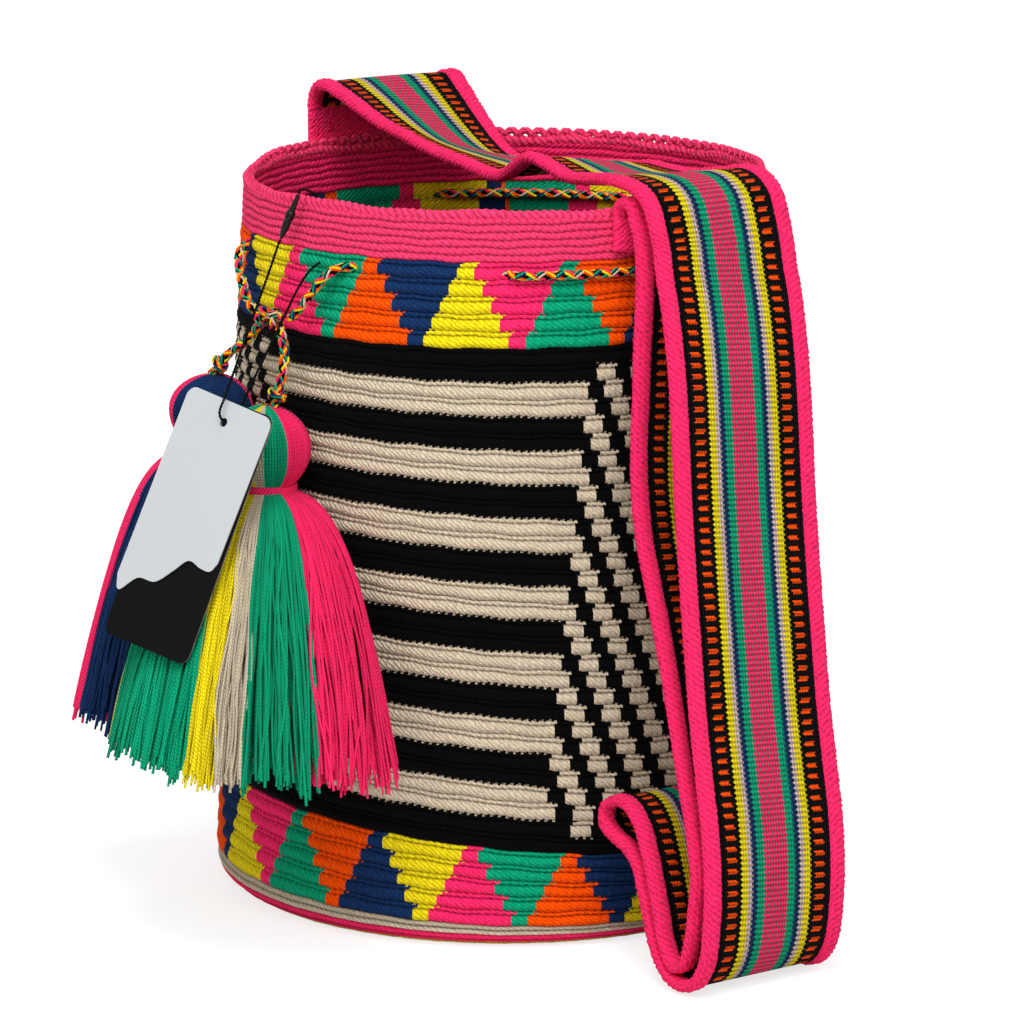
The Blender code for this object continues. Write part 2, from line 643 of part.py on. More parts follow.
def make_card(name, foot, turn_down, depth, finish, pivot):
    """A card that hangs with the top of its hole on the string at the pivot."""
    right, up, outward = card_axes(turn_down)
    shape = bmesh.new()
    loops = [card_outline(foot)]
    steps = 16
    drop = CARD_HOLE_RADIUS - STRING_RADIUS - 1.5 * FIT
    loops.append([(CARD_HOLE_RADIUS * math.cos(2 * math.pi * i / steps),
                   CARD_HOLE_RADIUS * math.sin(2 * math.pi * i / steps) - drop) for i in range(steps)])
    edges = []
    for loop in loops:
        corners = [shape.verts.new(right * x + up * y + outward * depth) for x, y in loop]
        edges += [shape.edges.new((corners[i - 1], corners[i])) for i in range(len(corners))]
    bmesh.ops.triangle_fill(shape, edges=edges, use_beauty=True)
    raised = bmesh.ops.extrude_face_region(shape, geom=shape.faces[:])
    moved = [piece for piece in raised["geom"] if isinstance(piece, bmesh.types.BMVert)]
    bmesh.ops.translate(shape, verts=moved, vec=outward * CARD_THICKNESS)
    bmesh.ops.recalc_face_normals(shape, faces=shape.faces)
    data = bpy.data.meshes.new(name)
    shape.to_mesh(data)
    shape.free()
    add_object(name, data, finish, pivot)


def lock_half(name, near, far, radii):
    """One half of the lock, turned about its own axis."""
    axis = far - near
    place = Matrix.Translation(near) @ axis.to_track_quat("Z", "Y").to_matrix().to_4x4()
    length = axis.length
    profile = [(0, 0)] + [(radius, share * length) for share, radius in radii] + [(0, length)]
    turned(name, profile, 14, "lock", place=place)


def string_route(hole, outward, lock_top, lock_foot):
    """From the lock over the rim, out through the wall, through both cards and back to the lock."""
    drop = (lock_foot - lock_top).normalized()
    clear = STRING_RADIUS + FIT
    inside = -(WALL + 2 * clear)
    rim_middle = -WALL / 2
    line = BAG_HEIGHT - STRING_HOLE_DROP
    rows = [lock_top - drop * FIT, lock_top - drop * 0.0025,
            at_wall(7.6, rim_middle, BAG_HEIGHT + 2.5 * clear), at_wall(8.0, inside, BAG_HEIGHT - 0.002),
            at_wall(9.8, inside, BAG_HEIGHT - 0.014), at_wall(11.3, inside, line + 0.0035),
            at_wall(STRING_HOLE_ANGLE, -WALL, line), at_wall(STRING_HOLE_ANGLE, 0, line),
            at_wall(STRING_HOLE_ANGLE, 0.0022, line - 0.0004), at_wall(11.7, 0.0090, line - 0.0040),
            at_wall(11.5, 0.0150, line - 0.0110), at_wall(11.0, 0.0192, line - 0.0190)]
    start = rows[-1]
    behind = hole - outward * 0.0050
    rows += [start.lerp(behind, share) for share in (0.3, 0.65, 0.93)]
    front = hole + outward * 0.0052
    rows += [hole - outward * 0.0022, hole, hole + outward * 0.0026, front.lerp(lock_foot, 0.03)]
    rows += [front.lerp(lock_foot, share) for share in (0.12, 0.4, 0.7, 0.86)]
    return rows + [lock_foot + drop * 0.003, lock_foot + drop * FIT]


def make_tag():
    hole = below_rim(CARD_HOLE_ANGLE, CARD_HOLE_OUT, CARD_HOLE_DROP)
    outward = card_axes(0)[2]
    for name, foot, turn_down, depth, finish in (
            ("tag_card_back", square_foot(), BACK_CARD_TURN, -CARD_THICKNESS - FIT, "card_black"),
            ("tag_card_front", wavy_foot(), CARD_TURN, 0.0, "card_white")):
        make_card(name, foot, turn_down, depth, finish, add_pivot(f"{name}_pivot", hole))
    lock_top = below_rim(*LOCK_TOP)
    lock_foot = below_rim(*LOCK_FOOT)
    middle = lock_top.lerp(lock_foot, 0.48)
    along = (lock_foot - lock_top).normalized()
    lock_half("tag_lock_pin", lock_top, middle - along * FIT / 2,
              ((0.0, 0.0008), (0.55, 0.0013), (0.8, 0.0015), (0.82, 0.0021), (1.0, 0.0021)))
    lock_half("tag_lock_socket", middle + along * FIT / 2, lock_foot,
              ((0.0, 0.0021), (0.5, 0.0018), (0.85, 0.0011), (1.0, 0.0008)))
    rough = smooth_path(string_route(hole, outward, lock_top, lock_foot), step=0.0004)
    rows = stations(rough, longest=0.010, sharpest=20)
    cord("tag_string", rows[:, :3], STRING_RADIUS, "black")


def main():
    for old in list(bpy.data.objects):
        bpy.data.objects.remove(old, do_unlink=True)
    make_body()
    make_strap()
    make_drawstring()
    for side, tassel in TASSELS.items():
        make_tassel(side, tassel)
    make_tag()


main()
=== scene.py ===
# Looks of the crocheted bucket bag: stitch relief and colour work, woven strap, braided drawstring,
# thread tassels and the bare hang tag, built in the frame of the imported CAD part.
import math

import bmesh
import bpy
import numpy as np
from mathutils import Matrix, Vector


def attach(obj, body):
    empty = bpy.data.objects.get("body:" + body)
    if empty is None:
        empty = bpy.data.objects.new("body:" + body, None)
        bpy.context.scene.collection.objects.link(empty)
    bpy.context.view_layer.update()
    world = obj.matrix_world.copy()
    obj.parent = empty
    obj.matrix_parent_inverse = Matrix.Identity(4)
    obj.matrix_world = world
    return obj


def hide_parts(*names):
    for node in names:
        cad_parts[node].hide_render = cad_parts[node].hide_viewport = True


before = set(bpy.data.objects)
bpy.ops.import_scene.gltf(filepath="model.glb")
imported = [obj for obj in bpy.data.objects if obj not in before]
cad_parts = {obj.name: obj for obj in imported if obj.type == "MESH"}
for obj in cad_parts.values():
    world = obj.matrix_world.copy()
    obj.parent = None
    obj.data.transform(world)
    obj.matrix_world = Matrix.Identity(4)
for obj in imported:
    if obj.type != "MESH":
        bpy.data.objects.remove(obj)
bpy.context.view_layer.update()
random = np.random.default_rng(7)
print("stage: frame loaded")


# sRGB values from 0 to 255 as linear ones
def linear(red, green, blue):
    values = np.array([red, green, blue]) / 255.0
    return tuple(np.where(values <= 0.04045, values / 12.92, ((values + 0.055) / 1.055) ** 2.4))


yarn = {
    "pink": linear(255, 44, 106),
    "rimPink": linear(250, 62, 112),
    "navy": linear(20, 48, 92),
    "yellow": linear(238, 216, 24),
    "green": linear(8, 160, 116),
    "orange": linear(255, 82, 2),
    "black": linear(4, 4, 5),
    "beige": linear(206, 190, 165),
    "lilac": linear(206, 182, 178),
}

bag = {"height": 0.325, "baseRadius": 0.1335, "rimRadius": 0.1175, "wall": 0.003, "corner": 0.011}


def wallRadius(height):
    return bag["baseRadius"] + (bag["rimRadius"] - bag["baseRadius"]) * height / bag["height"]


# A point at an angle in degrees from -Y towards +X, a distance outside the wall
def atWall(angle, out, height):
    turn = math.radians(angle)
    radius = wallRadius(height) + out
    return Vector((radius * math.sin(turn), -radius * math.cos(turn), height))


# Camera, made first

view = {"eye": (1.8607, -1.3519, 0.6707), "target": (0.0018, 0.0024, 0.1673), "lens": 180.7, "sensor": 36}


def makeCamera():
    eye, target = Vector(view["eye"]), Vector(view["target"])
    data = bpy.data.cameras.new("camera")
    data.lens = view["lens"]
    data.sensor_width = view["sensor"]
    data.clip_end = 20
    made = bpy.data.objects.new("camera", data)
    made.location = eye
    made.rotation_euler = (target - eye).to_track_quat("-Z", "Y").to_euler()
    bpy.context.scene.collection.objects.link(made)
    bpy.context.scene.camera = made


makeCamera()


# Meshes from arrays

def linkObject(name, data, material, body="bag", nodes=(), slot=None):
    made = bpy.data.objects.new(name, data)
    if material is not None:
        data.materials.append(material)
    bpy.context.scene.collection.objects.link(made)
    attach(made, body)
    if nodes:
        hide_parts(*nodes)
    return made


# A smooth mesh of quads. uv holds one row a corner, colours one a face and shade one value a point, a painted shade
# that darkens the colours
def meshData(name, points, faces, uv=None, colours=None, shade=None):
    data = bpy.data.meshes.new(name)
    count = len(faces)
    data.vertices.add(len(points))
    data.vertices.foreach_set("co", np.asarray(points, np.float32).ravel())
    data.loops.add(count * 4)
    data.loops.foreach_set("vertex_index", np.asarray(faces, np.int32).ravel())
    data.polygons.add(count)
    data.polygons.foreach_set("loop_start", np.arange(0, 4 * count, 4, dtype=np.int32))
    data.update(calc_edges=True)
    if uv is not None:
        layer = data.uv_layers.new(name="stitchUv")
        layer.data.foreach_set("uv", np.asarray(uv, np.float32).ravel())
    if colours is not None:
        layer = data.color_attributes.new("yarnColour", "FLOAT_COLOR", "CORNER")
        full = np.ones((count, 4, 4), np.float32)
        full[:, :, :3] = np.asarray(colours, np.float32)[:, None, :]
        if shade is not None:
            full[:, :, :3] *= np.asarray(shade, np.float32).ravel()[np.asarray(faces)][..., None]
        layer.data.foreach_set("color", full.ravel())
    data.shade_smooth()
    return data


# Quads of a grid of points, with the last column joined to the first if closed
def gridFaces(rows, columns, closed=False, flip=False):
    across = columns if closed else columns - 1
    i, j = np.meshgrid(np.arange(rows - 1), np.arange(across), indexing="ij")
    k = (j + 1) % columns
    faces = np.stack([i * columns + j, (i + 1) * columns + j, (i + 1) * columns + k, i * columns + k], -1)
    faces = faces.reshape(-1, 4)
    return faces[:, ::-1] if flip else faces


# The corners' uv values of a grid from its columns' and rows' values
def gridUv(uAt, vAt, flip=False):
    both = np.stack(np.broadcast_arrays(np.asarray(uAt)[None, :], np.asarray(vAt)[:, None]), -1)
    corners = np.stack([both[:-1, :-1], both[1:, :-1], both[1:, 1:], both[:-1, 1:]], 2).reshape(-1, 4, 2)
    return corners[:, ::-1] if flip else corners


# Materials

def nodeTree(name):
    made = bpy.data.materials.new(name)
    made.use_nodes = True
    tree = made.node_tree
    return made, tree, tree.nodes["Principled BSDF"]


def maths(tree, operation, *values):
    node = tree.nodes.new("ShaderNodeMath")
    node.operation = operation
    for socket, value in zip(node.inputs, values):
        if isinstance(value, (int, float)):
            socket.default_value = value
        else:
            tree.links.new(value, socket)
    return node.outputs[0]


def blendColour(tree, factor, first, second, mode="MIX"):
    node = tree.nodes.new("ShaderNodeMix")
    node.data_type = "RGBA"
    node.blend_type = mode
    for socket, value in ((node.inputs[0], factor), (node.inputs[6], first), (node.inputs[7], second)):
        if isinstance(value, (int, float)):
            socket.default_value = value
        elif isinstance(value, tuple):
            socket.default_value = (*value, 1.0)
        else:
            tree.links.new(value, socket)
    return node.outputs[2]


def noiseAt(tree, scale, detail=2.0):
    node = tree.nodes.new("ShaderNodeTexNoise")
    node.inputs["Scale"].default_value = scale
    node.inputs["Detail"].default_value = detail
    place = tree.nodes.new("ShaderNodeTexCoord")
    tree.links.new(place.outputs["Object"], node.inputs["Vector"])
    return node.outputs["Fac"]


def uvParts(tree):
    node = tree.nodes.new("ShaderNodeUVMap")
    node.uv_map = "stitchUv"
    split = tree.nodes.new("ShaderNodeSeparateXYZ")
    tree.links.new(node.outputs["UV"], split.inputs[0])
    return split.outputs[0], split.outputs[1]


def bumpFrom(tree, shader, height, distance):
    node = tree.nodes.new("ShaderNodeBump")
    node.inputs["Strength"].default_value = 1.0
    node.inputs["Distance"].default_value = distance
    tree.links.new(height, node.inputs["Height"])
    tree.links.new(node.outputs["Normal"], shader.inputs["Normal"])


def soften(shader, roughness=0.9):
    shader.inputs["Roughness"].default_value = roughness
    shader.inputs["Specular IOR Level"].default_value = 0.06
    shader.inputs["Sheen Weight"].default_value = 0.015
    shader.inputs["Sheen Roughness"].default_value = 0.5


# The colour that the mesh holds for its faces
def faceColour(tree):
    attribute = tree.nodes.new("ShaderNodeVertexColor")
    attribute.layer_name = "yarnColour"
    return attribute.outputs["Color"]


# The base colour times a shade
def tintBase(tree, shader, base, shade):
    tint = tree.nodes.new("ShaderNodeCombineColor")
    for socket in tint.inputs[:3]:
        tree.links.new(shade, socket)
    tree.links.new(blendColour(tree, 1.0, base, tint.outputs[0], "MULTIPLY"), shader.inputs["Base Color"])


# Yarn strokes that slant over the stitches, with a fuzz of fibres; the strokes carry painted shade, darker in the
# grooves between them
def crochetMaterial(name, along=1.3, down=3.4, distance=0.00035, dark=0.76):
    made, tree, shader = nodeTree(name)
    soften(shader)
    u, v = uvParts(tree)
    wobble = maths(tree, "MULTIPLY", noiseAt(tree, 420.0), 1.3)
    phase = maths(tree, "SUBTRACT", maths(tree, "MULTIPLY", u, along), maths(tree, "MULTIPLY", v, down))
    phase = maths(tree, "ADD", phase, wobble)
    wave = maths(tree, "SINE", maths(tree, "MULTIPLY", phase, 2 * math.pi))
    stroke = maths(tree, "MULTIPLY_ADD", wave, 0.5, 0.5)
    fibre = noiseAt(tree, 2600.0, 3.0)
    height = maths(tree, "MULTIPLY_ADD", fibre, 0.7, stroke)
    bumpFrom(tree, shader, height, distance)
    # Painted shade: the colour falls towards dark in the grooves between strokes
    shade = maths(tree, "MULTIPLY_ADD", maths(tree, "POWER", stroke, 0.7), 1.16 - dark, dark)
    shade = maths(tree, "MULTIPLY", shade, maths(tree, "MULTIPLY_ADD", fibre, 0.7, 0.68))
    tintBase(tree, shader, faceColour(tree), shade)
    return made


def plainMaterial(name, colour, roughness, specular):
    made, _, shader = nodeTree(name)
    shader.inputs["Base Color"].default_value = (*colour, 1.0)
    shader.inputs["Roughness"].default_value = roughness
    shader.inputs["Specular IOR Level"].default_value = specular
    return made


# Bag body: colour work in tiers of stitches

body = {
    "seam": -126.0, "columnsEach": 3, "rimTop": 0.3225, "rimFoot": 0.3028, "rimRows": 6,
    "upperFoot": 0.2655, "stripeMiddle": 0.1549, "stripeFoot": 0.0443, "lowerFoot": 0.0100,
    "upperStitches": 204, "stripeStitches": 240, "lowerStitches": 228,
    "rimStitches": 204, "rowHigh": 0.0036, "footRow": 0.0023, "baseRows": 34, "insideFoot": 0.0145,
    "facing": 54.0, "tilt": 0.0125, "hand": 0.00024, "uneven": 0.00006, "rowRelief": 0.0009,
    "tierDash": (0.00030, 0.00018), "rowDash": (0.00030, 0.00024),
    "tierTones": (0.93, 1.06), "rowTones": (0.94, 1.05),
}
# Parts of a tier from top to foot: their edges, relief, painted shade (dark in the grooves between rows) and ear
tier = {
    "edges": np.array([0.0, 0.055, 0.17, 0.27, 0.37, 0.66, 0.91, 1.0]),
    "relief": np.array([-0.00055, 0.00050, 0.00065, -0.00050, 0.00060, 0.00110, 0.00050]),
    "shade": np.array([0.60, 0.95, 1.04, 0.54, 0.96, 1.06, 0.90]),
    "ear": np.array([0.50, 0.42, 0.30, 0.0, 0.0, 0.0, 0.0]),
}
insideTier = {
    "edges": np.array([0.0, 0.28, 0.62, 1.0]), "relief": np.array([-0.0004, 0.0003, 0.0006]),
    "shade": np.array([0.62, 0.95, 1.0]), "ear": np.zeros(3),
}
yarnNames = ["yellow", "pink", "green", "orange", "navy", "black", "beige", "rimPink"]
yarnTable = np.array([yarn[name] for name in yarnNames])


# Triangles that stand and hang by turns round a middle stitch, one stitch narrower at each side
# every tier
def triangleColours(stitch, row, middle, order):
    cell = np.floor(stitch) - middle
    turn = np.floor((cell + 6) / 12)
    inner = np.abs(cell - 12 * turn + 0.5) < 1.2 + np.clip(row, 0, 4)
    right = cell - 12 * turn + 0.5 > 0
    place = np.where(inner, 2 * turn, 2 * turn + np.where(right, 1, -1))
    return np.array(order)[place.astype(int) % 5]


# Beige stripes on black, with a lattice of squares between the striped panels
def stripeColours(stitch, row):
    row = np.clip(row, 0, 29)
    step = np.minimum(row, 27)
    local = (stitch + 3) % 80 - 3
    first = 46.7 + step - 4 + 5 * (1 - step // 4) - np.where(row == 28, 0.3, 0)
    striped = ((row // 2) % 2 == 1) & (local < first - 2.5)
    square = (local >= first) & ((local - first) % 5 < 2.5) & (row > 0) & (row < 29)
    return np.where(striped | square, 6, 5)


# How far a row lies above its level height: the rows lean towards the strap low down
def tiltAt(angle, height):
    amount = np.interp(height, [0.0, 0.010, 0.0443, 0.07, 0.20, 0.265], [0, 0.3, 0.95, 1.0, 0.45, 0])
    turn = np.radians(angle)
    hand = np.sin(23 * turn + 310 * height) + 0.7 * np.sin(41 * turn - 190 * height)
    hand = body["hand"] * hand * np.interp(height, [0.002, 0.012, 0.318, 0.3225], [0, 1, 1, 0])
    return hand - body["tilt"] * amount * np.sin(turn - math.radians(body["facing"]))


# Points on the wall, round the corner under it and along the base, for arrays of values
def bodyPoint(angle, height, out):
    corner = bag["corner"]
    edge = wallRadius(corner)
    turn = np.clip((corner - height) / corner, 0, math.pi / 2)
    run = np.maximum(corner - height - corner * math.pi / 2, 0)
    arcRadius = edge - corner + (corner + out) * np.cos(turn) - run
    arcHeight = corner - (corner + out) * np.sin(turn)
    radius = np.where(height >= corner, wallRadius(height) + out, arcRadius)
    high = np.where(height >= corner, height, arcHeight)
    turned = np.radians(angle)
    return np.stack([radius * np.sin(turned), -radius * np.cos(turned), high], -1)


# How far the wall is drawn in round the eyelets that the drawstring passes
def eyeletDent(angle, height):
    dent = np.zeros(np.broadcast(angle, height).shape)
    for place in drawstring["eyelets"]:
        across = ((angle - place + 180) % 360 - 180) * math.pi / 180 * drawstring["dentRadius"]
        dent += np.exp(-(across / drawstring["dentWidth"]) ** 2
                       - ((height - drawstring["line"]) / drawstring["dentHeight"]) ** 2)
    return dent


# Where the stitches' columns lie, counted in stitches and in degrees
def stitchColumns(stitches, each):
    stitchAt = body["seam"] / 360 * stitches + np.arange(stitches * each + 1) / each
    return stitchAt, stitchAt * 360 / stitches


# Adds a hand's unevenness, with both sides of the seam alike
def uneven(out):
    out = out + random.normal(0, body["uneven"], out.shape)
    out[:, -1] = out[:, 0]
    return out


# A band of the wall in tiers of stitches, seen from outside or from inside, with painted shade in the grooves between
# rows
def tieredZone(name, top, foot, tiers, stitches, colourOf, material, inner=False):
    shape = insideTier if inner else tier
    edges, relief, grooveShade, ear = (shape[key] for key in ("edges", "relief", "shade", "ear"))
    stitchAt, angles = stitchColumns(stitches, 2 if inner else body["columnsEach"])
    starts = edges[:-1]
    parts = len(starts)
    share = np.concatenate([row + starts for row in range(tiers)] + [[tiers]])
    levels = top + (foot - top) * share / tiers
    rise = np.concatenate([np.tile(relief, tiers), relief[:1]])
    grooveShade = np.concatenate([np.tile(grooveShade, tiers), grooveShade[:1]])
    angleGrid, levelGrid = np.meshgrid(angles, levels)
    heights = levelGrid + tiltAt(angleGrid, levelGrid)
    dash = np.cos(2 * math.pi * (stitchAt[None, :] + 0.35 * share[:, None]))
    low = (grooveShade < 0.7)[:, None]
    out = uneven(rise[:, None] + dash * np.where(low, *body["tierDash"]))
    # Painted shade: the tier's shade values darken the grooves between rows, with darker dashes in the grooves
    shade = grooveShade[:, None] * (1 + dash * np.where(low, 0.30, 0.07))
    if inner:
        out = -bag["wall"] - out
        # Painted shade: the inside a little darker than the outside
        shade = shade * 0.95
    out = out - eyeletDent(angleGrid, heights) * drawstring["dentInside" if inner else "dentOutside"]
    points = bodyPoint(angleGrid, heights, out).reshape(-1, 3)
    faces = gridFaces(len(levels), len(angles), flip=inner)
    middles = (stitchAt[:-1] + stitchAt[1:]) / 2
    rowOf = np.repeat(np.arange(tiers), parts)
    partOf = np.tile(np.arange(parts), tiers)
    stitchGrid = middles[None, :] - ear[partOf][:, None]
    tooth = (middles % 1)[None, :]
    rowGrid = np.broadcast_to(rowOf[:, None], stitchGrid.shape).copy()
    if not inner:
        rowGrid -= (partOf[:, None] == 0) & (tooth < 0.34)
        rowGrid += (partOf[:, None] == parts - 1) & (tooth > 0.67)
    index = colourOf(stitchGrid, rowGrid)
    colours = yarnTable[index] * random.uniform(*body["tierTones"], index.shape)[..., None]
    uv = gridUv(stitchAt, share, flip=inner)
    data = meshData(name, points, faces, uv, colours.reshape(-1, 3), shade)
    return linkObject(name, data, material, slot="body_crochet")


# Plain rows: levels holds each row's edges and colourRows one yarn a row; painted shade darkens the grooves between
# rows
def rowZone(name, levels, colourRows, stitches, material, inner=False, each=3):
    steps = 5
    stitchAt, angles = stitchColumns(stitches, each)
    count = len(levels) - 1
    share = np.arange(count * steps + 1) / steps
    heightAt = np.interp(share, np.arange(count + 1), levels)
    swell = np.abs(np.sin(math.pi * share)) ** 0.6
    angleGrid, levelGrid = np.meshgrid(angles, heightAt)
    heights = levelGrid + tiltAt(angleGrid, levelGrid)
    dash = np.cos(2 * math.pi * (stitchAt[None, :] + 0.4 * share[:, None]))
    low = (swell < 0.3)[:, None]
    out = uneven(body["rowRelief"] * (swell[:, None] - 0.5) + dash * np.where(low, *body["rowDash"]))
    # Painted shade: darker where the rows meet, with dashes along the grooves
    shade = (0.42 + 0.63 * swell[:, None]) * (1 + dash * np.where(low, 0.30, 0.14))
    if inner:
        out = -bag["wall"] - out
    points = bodyPoint(angleGrid, heights, out).reshape(-1, 3)
    faces = gridFaces(len(heightAt), len(angles), flip=inner)
    rowOf = np.repeat(np.arange(count), steps)
    index = np.broadcast_to(np.array([yarnNames.index(c) for c in colourRows])[rowOf][:, None],
                            (count * steps, len(angles) - 1))
    colours = yarnTable[index] * random.uniform(*body["rowTones"], index.shape)[..., None]
    uv = gridUv(stitchAt, share * 0.5, flip=inner)
    data = meshData(name, points, faces, uv, colours.reshape(-1, 3), shade)
    return linkObject(name, data, material, slot="body_crochet")


drawstring = {
    "dentRadius": 0.12, "dentWidth": 0.0042, "dentHeight": 0.0028, "dentOutside": 0.0024, "dentInside": -0.0014,
    "line": 0.2975, "radius": 0.0024, "eyelets": (20, 54.5, 98, 148, 203, 250, 296, 340),
    "outside": 0.0027, "inside": -0.0057, "cross": 3.1, "knot": (2.2, 0.0099, 0.272),
    "knotRadius": 0.0021, "endRadius": 0.0023, "stopRadius": 0.0019, "inKnot": 0.0045,
}


def makeBody():
    outer = crochetMaterial("crochetWall")
    inside = crochetMaterial("crochetWallInside")
    top, rimFoot = body["rimTop"], body["rimFoot"]
    rimLevels = np.linspace(top, rimFoot, body["rimRows"] + 1)
    rim = rowZone("rimBand", rimLevels, ["rimPink"] * body["rimRows"], body["rimStitches"], outer)
    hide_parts("bag_body")
    halfWay = body["stripeMiddle"]
    zones = (("upperTriangles", rimFoot, body["upperFoot"], 5, body["upperStitches"],
              lambda stitch, row: triangleColours(stitch, row, 26, (0, 1, 2, 3, 4))),
             ("stripesHigh", body["upperFoot"], halfWay, 15, body["stripeStitches"], stripeColours),
             ("stripesLow", halfWay, body["stripeFoot"], 15, body["stripeStitches"],
              lambda stitch, row: stripeColours(stitch, row + 15)),
             ("lowerTriangles", body["stripeFoot"], body["lowerFoot"], 5, body["lowerStitches"],
              lambda stitch, row: triangleColours(stitch, row, 18, (4, 0, 1, 2, 3))))
    for name, high, low, tiers, stitches, colourOf in zones:
        tieredZone(name, high, low, tiers, stitches, colourOf, outer)
        tieredZone(name + "Inside", high, max(low, body["insideFoot"]), tiers, stitches, colourOf, inside,
                   inner=True)
    rowZone("rimBandInside", rimLevels, ["pink"] * body["rimRows"], body["rimStitches"], inside, inner=True,
            each=2)
    foot, step = body["lowerFoot"], body["footRow"]
    footLevels = [foot, foot - step]
    footLevels += [foot - 2 * step - body["rowHigh"] * row for row in range(body["baseRows"])]
    footColours = ["beige"] * 2 + ["pink"] * 2 + ["yellow"]
    rings = ["orange", "green", "navy", "pink", "beige", "black"]
    footColours += [rings[(row // 5) % len(rings)] for row in range(body["baseRows"] - 4)]
    rowZone("baseRows", footLevels, footColours, body["lowerStitches"], outer, each=1)
    makeBaseDiscs(outer, inside)


# The middle of the base below, and the whole base inside
def makeBaseDiscs(outer, inside):
    for name, height, radius, flip, material in (("baseMiddle", 0.0003, 0.0262, True, outer),
                                                 ("baseInside", bag["wall"], 0.1290, False, inside)):
        sides = 96
        rows = max(3, int(radius / body["rowHigh"]))
        angles = np.linspace(0, 2 * math.pi, sides + 1)
        radii = np.linspace(radius, 0.0004, rows + 1)
        points = [(r * math.sin(a), -r * math.cos(a), height) for r in radii for a in angles]
        faces = gridFaces(rows + 1, sides + 1, flip=not flip)
        names = [("pink", "black", "beige", "green")[(row // 6) % 4] for row in range(rows)]
        colours = np.repeat(np.array([yarn[n] for n in names]), sides, axis=0)
        uv = gridUv(np.arange(sides + 1) * 2.0, np.arange(rows + 1) * 0.5, flip=not flip)
        data = meshData(name, points, faces, uv, colours)
        linkObject(name, data, material, slot="body_crochet")


# Smooth paths and frames along them

# Points close together on a smooth curve through rows whose first three values are a place
def smoothPath(points, step=0.001):
    rows = np.array(points, float)
    rows = np.vstack([2 * rows[0] - rows[1], rows, 2 * rows[-1] - rows[-2]])
    found = []
    for a, b, c, d in zip(rows, rows[1:], rows[2:], rows[3:]):
        knots = [0.0]
        for start, end in ((a, b), (b, c), (c, d)):
            knots.append(knots[-1] + max(np.linalg.norm((end - start)[:3]), 1e-6) ** 0.5)
        length = np.linalg.norm((c - b)[:3])
        for t in np.linspace(knots[1], knots[2], max(2, int(length / step)), endpoint=False):
            ab = ((knots[1] - t) * a + (t - knots[0]) * b) / (knots[1] - knots[0])
            bc = ((knots[2] - t) * b + (t - knots[1]) * c) / (knots[2] - knots[1])
            cd = ((knots[3] - t) * c + (t - knots[2]) * d) / (knots[3] - knots[2])
            abc = ((knots[2] - t) * ab + (t - knots[0]) * bc) / (knots[2] - knots[0])
            bcd = ((knots[3] - t) * bc + (t - knots[1]) * cd) / (knots[3] - knots[1])
            found.append(((knots[2] - t) * abc + (t - knots[1]) * bcd) / (knots[2] - knots[1]))
    found.append(rows[-2])
    return np.array(found)


# Rows an even distance apart along a path, and how far along each lies
def evenly(path, spacing):
    lengths = np.concatenate([[0], np.cumsum(np.linalg.norm(np.diff(path[:, :3], axis=0), axis=1))])
    places = np.linspace(0, lengths[-1], max(2, round(lengths[-1] / spacing) + 1))
    rows = np.stack([np.interp(places, lengths, path[:, k]) for k in range(path.shape[1])], axis=1)
    return rows, places


# Two directions square to a path, carried along it without twist
def framesAlong(rows):
    tangents = np.gradient(rows[:, :3], axis=0)
    tangents /= np.linalg.norm(tangents, axis=1)[:, None]
    side = np.cross(tangents[0], (0.0, 0.0, 1.0))
    if np.linalg.norm(side) < 1e-3:
        side = np.cross(tangents[0], (0.0, 1.0, 0.0))
    sides = []
    for tangent in tangents:
        side = side - tangent * (side @ tangent)
        side = side / np.linalg.norm(side)
        sides.append(side)
    sides = np.array(sides)
    return sides, np.cross(tangents, sides)


# Points, faces and uv of a round tube along a path, with its ends drawn to a point
def tubeMesh(rows, radii, sides, places):
    first, second = framesAlong(rows)
    turns = np.linspace(0, 2 * math.pi, sides, endpoint=False)
    radii = np.broadcast_to(radii, len(rows)).copy()
    radii[0] *= 0.2
    radii[-1] *= 0.2
    ring = first[:, None, :] * np.cos(turns)[None, :, None] + second[:, None, :] * np.sin(turns)[None, :, None]
    points = rows[:, None, :3] + ring * radii[:, None, None]
    faces = gridFaces(len(rows), sides, closed=True, flip=True)
    return points.reshape(-1, 3), faces, gridUv(np.arange(sides + 1) / sides, places, flip=True)


# One set of points, faces, uv and colours from several
def joinMeshes(parts):
    points, faces, uv, colours, start = [], [], [], [], 0
    for part in parts:
        points.append(part[0])
        faces.append(part[1] + start)
        uv.append(part[2])
        colours.append(np.broadcast_to(part[3], (len(part[1]), 3)))
        start += len(part[0])
    return np.vstack(points), np.vstack(faces), np.vstack(uv), np.vstack(colours)


# One piece from several meshes, with its uv scaled
def joinedPiece(name, parts, material, uvScale=(1, 1), **ties):
    points, faces, uv, colours = joinMeshes(parts)
    return linkObject(name, meshData(name, points, faces, uv * uvScale, colours), material, **ties)


# Lace edge on the rim

lace = {
    "ringHeight": 0.3228, "ringRadius": 0.0023, "wave": 0.0005,
    "scallops": 62, "from": 118.0, "to": 318.0, "peak": 0.0034, "archRadius": 0.00145,
}


